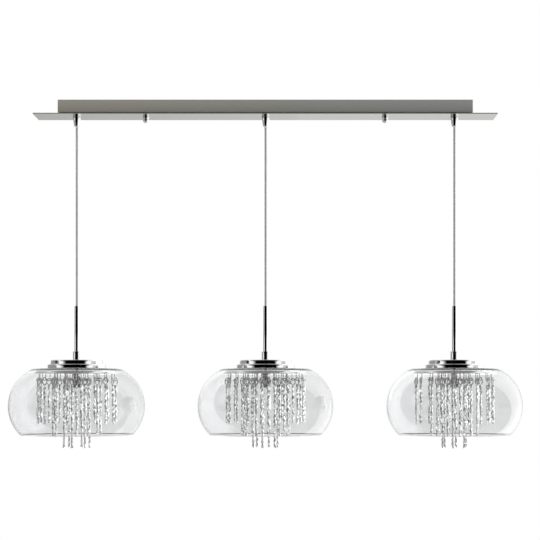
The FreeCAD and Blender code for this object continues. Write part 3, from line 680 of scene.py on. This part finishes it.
def coupler(side):
    """The turned coupler and its long threaded nipple."""
    low, high = levels("stem_coupler_" + side)
    radius = radius_of("stem_coupler_" + side)
    stem_low = levels("stem_tube_" + side)[0]
    shoulder = levels("cap_cup_" + side)[1]
    socket = radius_of("stem_tube_" + side) + 0.1 * MM
    bore = 3.0 * MM
    edge = 0.7 * MM
    groove = 0.35 * MM
    profile = [(socket, high), (radius - edge, high)]
    profile += arc_points((radius - edge, high - edge), edge, 90, 0, 4)[1:]
    for share in (0.2, 0.8):
        z = high + (shoulder - high) * share
        profile += [(radius, z + groove), (radius - groove, z), (radius, z - groove)]
    profile += arc_points((radius - edge, shoulder + edge), edge, 0, -90, 4)
    profile += [(NIPPLE_RADIUS, shoulder)]
    z = levels("glass_gaskets_" + side)[0] - 8 * MM
    while z - THREAD_PITCH > low + 0.5 * MM:
        profile += [(NIPPLE_RADIUS, z), (NIPPLE_RADIUS - THREAD_DEPTH, z - THREAD_PITCH / 2)]
        z -= THREAD_PITCH
    profile += [(NIPPLE_RADIUS, z), (NIPPLE_RADIUS - 0.4 * MM, low), (bore, low),
                (bore, stem_low), (socket, stem_low)]
    turned_piece("coupler_turned", side, profile, CHROME, "stem_coupler")


def cap(side):
    """The stepped cap: a cup with a rolled edge over a wider shallow dish."""
    cup_low, cup_high = levels("cap_cup_" + side)
    cup_radius = radius_of("cap_cup_" + side)
    wall = 1.2 * MM
    roll = 2.6 * MM
    hem = 0.35 * MM
    inner = cup_radius - wall
    rolled = (cup_radius - roll, cup_high - roll)
    profile = arc_points(rolled, roll, 0, 90, 10)
    profile += [(12 * MM, cup_high), (NIPPLE_HOLE, cup_high), (NIPPLE_HOLE, cup_high - wall),
                (cup_radius - roll, cup_high - wall)]
    profile += arc_points(rolled, roll - wall, 90, 0, 6)[1:]
    profile += [(inner, cup_low), (cup_radius - hem, cup_low), (cup_radius, cup_low + hem)]
    turned_piece("cap_cup_spun", side, profile, CHROME, "cap_cup")

    low, collar_top = levels("cap_flange_" + side)
    radius = radius_of("cap_flange_" + side)
    skirt = radius - wall
    collar_out = inner - 0.2 * MM
    collar_in = collar_out - wall
    ledge = collar_in - 8 * MM
    bend = 0.8 * MM
    soft = 2.0 * MM
    profile = arc_points((radius - soft, cup_low - soft), soft, 0, 90, 8)
    profile += [(collar_out, cup_low), (collar_out, collar_top), (collar_in, collar_top),
                (collar_in, cup_low), (ledge, cup_low), (ledge, cup_low - wall),
                (skirt - bend, cup_low - wall), (skirt, cup_low - wall - bend),
                (skirt, low), (radius - hem, low), (radius, low + hem)]
    turned_piece("cap_flange_spun", side, profile, CHROME, "cap_flange")


CAP_SCREW_TURNS = (-133.0, 47.0)
CAP_SCREW_LIFT = 0.1 * MM
CAP_SCREW_HEIGHT = 2.6 * MM


def cap_screws(side):
    """Small domed screws with a round socket, round the cup."""
    low, high = levels("cap_screws_" + side)
    head = (high - low) / 2
    shank = 1.5 * MM
    inside = -6 * MM
    socket = 1.2 * MM
    socket_floor = CAP_SCREW_HEIGHT - 0.8 * MM
    rise = CAP_SCREW_HEIGHT * 0.6
    sphere = (head ** 2 + rise ** 2) / (2 * rise)
    dome = arc_points((0.0, CAP_SCREW_HEIGHT - sphere), sphere,
                      math.degrees(math.acos(head / sphere)), 90, 8)
    profile = [(0.0, inside), (shank, inside), (shank, 0.0), (head, 0.0),
               (head, CAP_SCREW_HEIGHT - rise)]
    profile += dome[1:-1] + [(1.5 * MM, dome[-3][1]), (socket, socket_floor),
                             (0.0, socket_floor)]
    screw = outward(lathe(profile, SEGMENTS["cap_screws"], closed=False))
    reach = Matrix.Translation((radius_of("cap_cup_" + side) + CAP_SCREW_LIFT, 0, 0))
    centre = Matrix.Translation((PENDANT_X[side], 0, (low + high) / 2))
    parts = []
    for turn in CAP_SCREW_TURNS:
        out = Matrix.Rotation(math.radians(turn), 4, "Z") @ reach
        parts.append(placed(screw, centre @ out @ Matrix.Rotation(math.pi / 2, 4, "Y")))
    pendant_piece("cap_screws_domed", side, joined(parts), DARK_STEEL, "cap_screws")


# ---------------------------------------------------------------- glass and gaskets
GLASS_BULGE = 84.0 * MM
GLASS_SHOULDER = 30.0 * MM
GLASS_WIDEST_DEPTH = 77.5 * MM
GLASS_WALL = 3.0 * MM
GLASS_HOLE = 21.0 * MM
GLASS_THINNING = 0.32
RIM_THINNING = 1.3
RIM_ROUND = 0.25
RIM_STEPS = 8
SHOULDER_STEPS = 12
BULGE_STEPS = 48
GLASS_SMOOTH_ANGLE = 60.0
PAN_SHOULDER = 5.2 * MM


def glass_half(top, radius, rim, inset):
    """One skin of the shade from its flat top to its rim. The wall thins over the shoulder,
    and once more over the lower half of the bulge."""
    widest = top - GLASS_WIDEST_DEPTH
    centre = radius - GLASS_BULGE
    rise = GLASS_WIDEST_DEPTH - GLASS_SHOULDER
    reach = GLASS_BULGE - GLASS_SHOULDER
    join = math.degrees(math.asin(rise / reach))
    shoulder = (centre + math.sqrt(reach ** 2 - rise ** 2), widest + rise)
    foot = -math.degrees(math.asin((widest - rim) / GLASS_BULGE))
    stations = []
    for step in range(SHOULDER_STEPS):
        share = step / SHOULDER_STEPS
        stations.append((shoulder, GLASS_SHOULDER, 90 + (join - 90) * share, share))
    for step in range(BULGE_STEPS + 1):
        share = step / BULGE_STEPS
        stations.append(((centre, widest), GLASS_BULGE, join + (foot - join) * share,
                         1.0 + RIM_THINNING * max(0.0, 2.0 * share - 1.0)))
    points = []
    for middle, full, angle, thinning in stations:
        skin = full - inset * (1.0 - GLASS_THINNING * thinning)
        turn = math.radians(angle)
        points.append((middle[0] + skin * math.cos(turn), middle[1] + skin * math.sin(turn)))
    return points


def glass_shade(side):
    """The clear shade: a flat top with its hole, a soft shoulder, a fire-polished rim."""
    low, high = levels("glass_shade_" + side)
    radius = radius_of("glass_shade_" + side)
    outer = glass_half(high, radius, low, 0.0)
    inner = glass_half(high, radius, low, GLASS_WALL)
    a, b = Vector(outer[-1]), Vector(inner[-1])
    middle = (a + b) / 2
    half = (a - b).length / 2
    along = (a - b).normalized()
    down = Vector((along.y, -along.x))
    rim = []
    for step in range(1, RIM_STEPS):
        angle = math.pi * step / RIM_STEPS
        bead = along * (math.cos(angle) * half) + down * (math.sin(angle) * half * RIM_ROUND)
        rim.append(middle + bead)
    lift = (low - min(point.y for point in rim)) * 0.999
    rim = [(point.x, point.y + lift) for point in rim]
    outer[-1] = (a.x, a.y + lift * 0.4)
    under = high - GLASS_WALL
    soft = 0.6 * MM
    top = [(GLASS_HOLE, under + soft), (GLASS_HOLE, high - soft), (GLASS_HOLE + soft, high),
           (GLASS_HOLE + 12 * MM, high), (60 * MM, high)]
    below = [(70 * MM, under), (40 * MM, under), (GLASS_HOLE + soft, under)]
    turned_piece("glass_shade_blown", side, top + outer + rim + inner[::-1] + below,
                 GLASS, "glass_shade", smooth_angle=GLASS_SMOOTH_ANGLE)


def gaskets(side):
    """The two clear rings that hold the glass."""
    low, high = levels("glass_gaskets_" + side)
    thick = 0.7 * MM
    width = 3 * MM
    edge = 0.15 * MM
    parts = []
    for outer, top in ((radius_of("cap_flange_" + side), high),
                       (radius_of("carrier_pan_" + side) - PAN_SHOULDER, low + thick)):
        under = top - thick
        profile = [(outer - width, top), (outer - edge, top), (outer, top - edge),
                   (outer, under + edge), (outer - edge, under), (outer - width, under)]
        parts.append(outward(lathe(profile, SEGMENTS["glass_gaskets"], PENDANT_X[side])))
    pendant_piece("gaskets_clear", side, joined(parts), GASKET, "glass_gaskets")


# ---------------------------------------------------------------- pan, hooks and nut
RINGS = {
    "short": {"count": 18, "share": 0.925, "phase": 5.0},
    "medium": {"count": 12, "share": 0.561, "phase": 7.5},
    "long": {"count": 6, "share": 0.3, "phase": 16.0},
}
HOOK_WIRE = 0.9 * MM
HOOK_SIDES = 10
HOOK_HALF = 2.9 * MM
HOOK_BEND = 1.9 * MM


def pan(side):
    """The shallow pressed pan with its rolled edge."""
    top = levels("carrier_pan_" + side)[1]
    radius = radius_of("carrier_pan_" + side)
    under = levels("clamp_nut_" + side)[1]
    wall = 1.5 * MM
    chamfer = 0.8 * MM
    centre = (radius - PAN_SHOULDER, top - PAN_SHOULDER)
    lip = centre[0] - 4 * MM
    profile = [(lip, top - wall), (lip, top)]
    profile += arc_points(centre, PAN_SHOULDER, 90, 0, 16)
    profile += arc_points((radius - chamfer, under + chamfer), chamfer, 0, -90, 5)
    profile += [(NIPPLE_HOLE, under), (NIPPLE_HOLE, under + wall),
                (radius - wall - chamfer / 2, under + wall)]
    profile += arc_points(centre, PAN_SHOULDER - wall, 0, 90, 10)
    # the pan wears the darker chrome copy: painted shade
    turned_piece("carrier_pan_pressed", side, profile, PAN_CHROME_PAINTED_SHADE, "carrier_pan")


def hook_path(pan_under, foot):
    """The bend of one wire hook: down from the pan, round under the eye and up."""
    bend_z = foot + HOOK_BEND
    path = [(-HOOK_HALF, pan_under + 0.5 * MM), (-HOOK_HALF, pan_under - 1.5 * MM),
            (-HOOK_HALF, bend_z)]
    path += arc_points((HOOK_BEND - HOOK_HALF, bend_z), HOOK_BEND, 180, 270, 6)[1:]
    path += arc_points((HOOK_HALF - HOOK_BEND, bend_z), HOOK_BEND, -90, 0, 6)[1:]
    path.append((HOOK_HALF, bend_z + 1.0 * MM))
    return [Vector((x, 0.0, z)) for x, z in path]


def around_pendant(side, ring):
    """The placements of a ring's strands or hooks round their pendant."""
    circle = 2 * radius_of("carrier_pan_" + side) * ring["share"]
    centre = Matrix.Translation((PENDANT_X[side], 0.0, 0.0))
    reach = Matrix.Translation((circle / 2, 0.0, 0.0))
    for step in range(ring["count"]):
        turn = math.radians(ring["phase"] + 360.0 * step / ring["count"])
        yield centre @ Matrix.Rotation(turn, 4, "Z") @ reach


def wire_hooks(side):
    """The bent hooks under the pan."""
    foot = levels("strands_short_" + side)[1] - 2.0 * MM - HOOK_WIRE
    path = hook_path(levels("clamp_nut_" + side)[1], foot)
    hook = outward(swept(path, HOOK_WIRE, HOOK_SIDES))
    parts = [placed(hook, lay) for ring in RINGS.values() for lay in around_pendant(side, ring)]
    # the hooks wear the darker chrome copy: painted shade under the pan
    hooks = new_piece("wire_hooks_bent_" + side, joined(parts), "pendant_" + side, HOOK_STEEL_PAINTED_SHADE)


def clamp_nut(side):
    """The hexagon nut under the pan, with chamfered corners."""
    low, high = levels("clamp_nut_" + side)
    corner = radius_of("clamp_nut_" + side)
    flat = corner * math.cos(math.radians(30))
    bevel = 0.5 * MM
    rings = [(high, flat), (high - bevel, corner), (low + bevel, corner), (low, flat),
             (low, NIPPLE_HOLE), (high, NIPPLE_HOLE)]
    steps = SEGMENTS["clamp_nut"]
    vertices = []
    faces = []
    for row, (z, reach) in enumerate(rings):
        below = (row + 1) % len(rings)
        for step in range(steps):
            angle = 2 * math.pi * step / steps
            sector = math.radians(abs((math.degrees(angle) + 30) % 60 - 30))
            edge = min(reach, flat / math.cos(math.radians(30) - sector))
            vertices.append((PENDANT_X[side] + edge * math.cos(angle),
                             edge * math.sin(angle), z))
            after = (step + 1) % steps
            faces.append((row * steps + step, below * steps + step, below * steps + after,
                          row * steps + after))
    pendant_piece("clamp_nut_chamfered", side, outward((vertices, faces)), ZINC, "clamp_nut")


# ---------------------------------------------------------------- twisted strands
WIRE_RADIUS = 1.4 * MM
WIRE_SIDES = 6
HELIX_RADIUS = 1.45 * MM
HELIX_PITCH = 20.0 * MM
TURN_STEPS = 12
LEAST_STEPS = 8
UNEVEN_TURN = 0.25
UNEVEN_REACH = 0.08
LEG_GAP = 3.0 * MM
LEAN_DEGREES = 0.25
EYE_WIDTH = 11.6 * MM
EYE_HEIGHT = 13.2 * MM
EYE_RISE = 3.6 * MM
EYE_WIRE = 1.2 * MM
EYE_SIDES = 8
EYE_STEPS = 22
EYE_PINCH = 0.25
EYE_TURN_DEGREES = 55


def leg_points(start_angle, top, bottom, waves):
    """One leg of the folded wire as it winds about its strand."""
    length = top - bottom
    count = max(LEAST_STEPS, int(length / HELIX_PITCH * TURN_STEPS))
    points = []
    for step in range(count + 1):
        down = length * step / count
        angle = start_angle + 2 * math.pi * down / HELIX_PITCH
        angle += UNEVEN_TURN * math.sin(down / waves[0] + waves[1])
        reach = HELIX_RADIUS * (1 + UNEVEN_REACH * math.sin(down / waves[2] + waves[3]))
        points.append(Vector((reach * math.cos(angle), reach * math.sin(angle), top - down)))
    return points


def strand(top, bottom, draw):
    """A wire folded in half: its eye above, and two twisted legs that end almost level."""
    middle = top + (EYE_RISE - EYE_HEIGHT) / 2
    wide = EYE_WIDTH / 2 - EYE_WIRE
    tall = (EYE_HEIGHT + EYE_RISE) / 2 - EYE_WIRE
    facing = math.radians(draw.uniform(-EYE_TURN_DEGREES, EYE_TURN_DEGREES))
    facing = Matrix.Rotation(facing, 3, "Z")
    eye = []
    for step in range(EYE_STEPS):
        angle = math.radians(-90 + 360 * step / EYE_STEPS)
        pinch = 1.0 if math.sin(angle) > 0 else 1.0 - EYE_PINCH * math.sin(angle) ** 2
        eye.append(facing @ Vector((0.0, wide * math.cos(angle) * pinch,
                                    middle + tall * math.sin(angle))))
    parts = [outward(swept(eye, EYE_WIRE, EYE_SIDES, closed=True))]
    neck = top - EYE_HEIGHT + 0.9 * MM
    start = draw.uniform(0, 2 * math.pi)
    for leg in (0, 1):
        waves = (draw.uniform(0.02, 0.04), draw.uniform(0, 6.3), draw.uniform(0.01, 0.03),
                 draw.uniform(0, 6.3))
        end = bottom + WIRE_RADIUS * 0.3 + (draw.uniform(0.0, 1.0) * LEG_GAP if leg else 0.0)
        points = leg_points(start + math.pi * leg, neck, end, waves)
        parts.append(outward(swept(points, WIRE_RADIUS, WIRE_SIDES)))
    return joined(parts)


def strand_ring(side, length):
    """One ring of hanging strands, each with its own twist and small lean."""
    name = "strands_" + length
    low, high = levels(name + "_" + side)
    draw = random.Random(name + "_" + side)
    hang = Matrix.Translation((0, 0, high))
    parts = []
    for lay in around_pendant(side, RINGS[length]):
        mesh = strand(high, low, draw)
        lean = Matrix.Identity(4)
        for axis in ("X", "Y"):
            angle = math.radians(draw.uniform(-LEAN_DEGREES, LEAN_DEGREES))
            lean = lean @ Matrix.Rotation(angle, 4, axis)
        parts.append(placed(mesh, lay @ hang @ lean @ hang.inverted()))
    pendant_piece("strands_twisted_" + length, side, joined(parts), WIRE, name,
                  WIRE_SMOOTH_ANGLE)


# ---------------------------------------------------------------- lamp
def lamp_holder(side):
    """The glazed holder: a narrow head, a wider body and softened edges."""
    low, high = levels("lamp_holder_" + side)
    radius = radius_of("lamp_holder_" + side)
    head = 6.5 * MM
    neck = high - 6.6 * MM
    mouth = 4.6 * MM
    flare = 1.5 * MM
    bottom = neck - 5 * MM
    soft = 0.8 * MM
    profile = [(NIPPLE_HOLE, high)] + arc_points((head - soft, high - soft), soft, 90, 0, 4)
    profile += [(head, neck)] + arc_points((radius - soft, neck - soft), soft, 90, 0, 4)
    profile += arc_points((radius - soft, low + soft), soft, 0, -90, 4)
    profile += [(mouth + flare, low), (mouth, low + flare), (mouth, bottom),
                (NIPPLE_HOLE, bottom + 1 * MM)]
    turned_piece("lamp_holder_glazed", side, profile, CERAMIC, "lamp_holder")


def lamp(side):
    """The capsule lamp: a pinched base and a round-ended bulb."""
    low = levels("lamp_" + side)[0]
    radius = radius_of("lamp_" + side)
    top = levels("lamp_holder_" + side)[0] - 0.2 * MM
    base_top = top + 8 * MM
    soft = 2.4 * MM
    profile = [(0.0, base_top), (3.4 * MM, base_top), (3.6 * MM, top), (radius - soft, top)]
    profile += arc_points((radius - soft, top - soft), soft, 80, 0, 6)
    profile += arc_points((0.0, low + radius), radius, 0, -90, 12)[:-1] + [(0.0, low)]
    turned_piece("lamp_capsule", side, profile, LAMP, "lamp", closed=False)


# ---------------------------------------------------------------- surroundings
# What mirrors see of the studio, as brightness by compass angle, in degrees from the front:
# level, just above and just below level, high up, and on a slanted panel at the right.
STUDIO_RINGS = {
    "level": [
        (-180, 0.85), (-160, 0.8), (-145, 0.35), (-79, 0.3), (-75, 1.15), (-57, 1.1),
        (-53, 0.6), (-42, 0.0), (43, 0.0), (54, 1.15), (72, 1.15), (76, 0.7), (98, 0.7),
        (103, 0.85), (180, 0.9)],
    "low": [
        (-180, 0.8), (-150, 0.35), (-110, 0.3), (-75, 0.45), (-50, 0.4), (-35, 0.0),
        (35, 0.0), (45, 0.8), (60, 1.2), (100, 1.1), (125, 0.9), (180, 0.85)],
    "raised": [
        (-180, 1.1), (-155, 1.0), (-140, 0.45), (-87, 0.4), (-83, 1.1), (-75, 1.1),
        (-70, 0.5), (-58, 0.2), (-48, 0.0), (46, 0.0), (55, 0.2), (61, 1.0), (100, 1.0),
        (115, 0.85), (150, 0.8), (165, 1.0), (180, 1.0)],
    "high": [
        (-180, 1.0), (-110, 0.8), (-72, 0.6), (-45, 0.1), (45, 0.1), (72, 0.6),
        (110, 0.8), (180, 1.0)],
    "panel": [
        (80, 2.1), (110, 2.1), (128, 1.8), (142, 1.35), (155, 1.0), (165, 0.85)],
}
PANEL_SLANT = (-0.24, 1.0, 0.28)
GROUND_GREY = 0.55
BACKDROP = 0.88
WHITE = (1.0, 1.0, 1.0, 1.0)
SKY_TINT = (0.95, 0.97, 1.0, 1.0)
SKY_LIGHT = 0.55
LEAST_IN_WALL = 0.65
LEAST_BEHIND_GLASS = 0.1
BRIGHTER_BEHIND_GLASS = 2.0


def light_ring(tree, share, stops):
    """Brightness by compass angle, from stops of (degrees from the front, value)."""
    ring = node(tree, "ValToRGB", n0=share)
    bands = ring.color_ramp
    while len(bands.elements) < len(stops):
        bands.elements.new(0.5)
    for element, (angle, _) in zip(bands.elements, stops):
        element.position = (angle + 180) / 360
    for element, (_, value) in zip(bands.elements, stops):
        element.color = (value, value, value, 1.0)
    return ring.outputs[0]


def studio_pattern(tree):
    """The studio's rings of light, blended by height, with the slanted panel over them."""
    place = node(tree, "TexCoord").outputs["Generated"]
    axes = axes_of(tree, place)
    height = axes["Z"]
    turn = maths(tree, "ARCTAN2", axes["X"], maths(tree, "MULTIPLY", axes["Y"], -1.0))
    share = spread(tree, turn, 0.0, 1.0, -math.pi, math.pi)
    rings = {name: light_ring(tree, share, stops) for name, stops in STUDIO_RINGS.items()}
    pattern = rings["level"]
    for name, start, end in (("raised", 0.065, 0.09), ("high", 0.55, 0.7),
                             ("low", 0.0, -0.03)):
        pattern = blend_colours(tree, spread(tree, height, 0.0, 1.0, start, end),
                                pattern, rings[name])
    ground = blend_colours(tree, 0.45, rings["low"], (GROUND_GREY,) * 3)
    pattern = blend_colours(tree, spread(tree, height, 0.0, 1.0, -0.4, -0.6), pattern, ground)
    slant = node(tree, "VectorMath", {"operation": "DOT_PRODUCT"}, n0=place,
                 n1=PANEL_SLANT).outputs["Value"]
    panel = maths(tree, "MULTIPLY", spread(tree, slant, 0.0, 1.0, 0.0, 0.02),
                  spread(tree, axes["X"], 0.0, 1.0, 0.25, 0.35))
    panel = maths(tree, "MULTIPLY", panel, spread(tree, height, 1.0, 0.0, 0.7, 0.85))
    return blend_colours(tree, panel, pattern, rings["panel"])


def studio_world():
    """A white backdrop, soft light, and a studio pattern that only reflections see."""
    world = bpy.data.worlds.new("studio")
    world.use_nodes = True
    bpy.context.scene.world = world
    tree = world.node_tree
    tree.nodes.clear()
    output = tree.nodes.new("ShaderNodeOutputWorld")
    path = node(tree, "LightPath").outputs
    mirrored = maths(tree, "GREATER_THAN", path["Glossy Depth"], 0.5)
    in_wall = maths(tree, "GREATER_THAN", path["Transmission Depth"], 0.5)
    behind_glass = maths(tree, "GREATER_THAN", path["Transmission Depth"], 2.5)
    least = spread(tree, in_wall, 0.0, LEAST_IN_WALL, 0.0, 1.0)
    least = spread(tree, behind_glass, least, LEAST_BEHIND_GLASS, 0.0, 1.0)
    lit = node(tree, "VectorMath", {"operation": "MAXIMUM"}, n0=studio_pattern(tree), n1=least)
    strength = spread(tree, behind_glass, 1.0, BRIGHTER_BEHIND_GLASS, 0.0, 1.0)
    studio = node(tree, "Background", Color=lit.outputs[0], Strength=strength)
    backdrop = spread(tree, path["Is Camera Ray"], BACKDROP, 1.0, 0.0, 1.0)
    white = node(tree, "Background", Color=WHITE, Strength=backdrop)
    sky = node(tree, "Background", Color=SKY_TINT, Strength=SKY_LIGHT)
    seen = node(tree, "MixShader", n0=mirrored, n1=white.outputs[0], n2=studio.outputs[0])
    final = node(tree, "MixShader", n0=path["Is Diffuse Ray"], n1=seen.outputs[0],
                 n2=sky.outputs[0])
    tree.links.new(final.outputs[0], output.inputs[0])


LAMP_AIM = Vector((0.0, 0.0, -0.5))
FLOOR_HALF = 3.0
FLOOR_LEVEL = -2.4
FLOOR_FADE = (1.2, 2.9)


def soft_lamp(name, place, size, watts):
    """A large square soft lamp that mirrors don't show."""
    data = bpy.data.lights.new(name, "AREA")
    data.shape = "RECTANGLE"
    data.size = data.size_y = size
    data.energy = watts
    light = bpy.data.objects.new(name, data)
    bpy.context.scene.collection.objects.link(light)
    light.location = place
    light.rotation_euler = (LAMP_AIM - Vector(place)).to_track_quat("-Z", "Y").to_euler()
    light.visible_glossy = False
    light.visible_camera = False
    light.visible_transmission = False


def floor():
    """A pale floor a room's height below, which fades into the backdrop."""
    mesh = bpy.data.meshes.new("floor")
    corners = [(x * FLOOR_HALF, y * FLOOR_HALF, 0)
               for x, y in ((-1, -1), (1, -1), (1, 1), (-1, 1))]
    mesh.from_pydata(corners, [], [(0, 1, 2, 3)])
    material, tree, shader = surface("pale_floor", (0.86, 0.86, 0.86))
    grain = noise(tree, object_space(tree), 30.0)
    feed(tree, shader, Roughness=spread(tree, grain, 0.6, 0.75))
    glow = node(tree, "Emission", Color=WHITE, Strength=BACKDROP)
    path = node(tree, "LightPath").outputs
    seen = node(tree, "MixShader", n0=path["Is Transmission Ray"],
                n1=shader.outputs[0], n2=glow.outputs[0])
    away = node(tree, "VectorMath", {"operation": "LENGTH"},
                n0=node(tree, "TexCoord").outputs["Object"]).outputs["Value"]
    gone = spread(tree, away, 0.0, 1.0, *FLOOR_FADE)
    hidden = maths(tree, "MAXIMUM", gone, path["Is Glossy Ray"])
    clear = node(tree, "BsdfTransparent")
    faded = node(tree, "MixShader", n0=hidden, n1=seen.outputs[0], n2=clear.outputs[0])
    tree.links.new(faded.outputs[0], tree.nodes["Material Output"].inputs[0])
    mesh.materials.append(material)
    ground = bpy.data.objects.new("floor", mesh)
    bpy.context.scene.collection.objects.link(ground)
    ground.location.z = FLOOR_LEVEL


studio_world()
soft_lamp("key", (-1.6, -2.2, 0.8), 2.4, 60.0)
soft_lamp("fill", (2.4, -1.6, -0.4), 2.0, 30.0)
floor()

# ---------------------------------------------------------------- the whole light
for side in SIDES:
    cable(side)
ceiling_parts()
ball_nuts()
for side in SIDES:
    cord_grip(side)
    cable_bush(side)
    stem(side)
    coupler(side)
    cap(side)
    cap_screws(side)
    gaskets(side)
    glass_shade(side)
    pan(side)
    wire_hooks(side)
    clamp_nut(side)
    for length in RINGS:
        strand_ring(side, length)
    lamp_holder(side)
    lamp(side)

scene = bpy.context.scene
scene.view_settings.view_transform = "Standard"
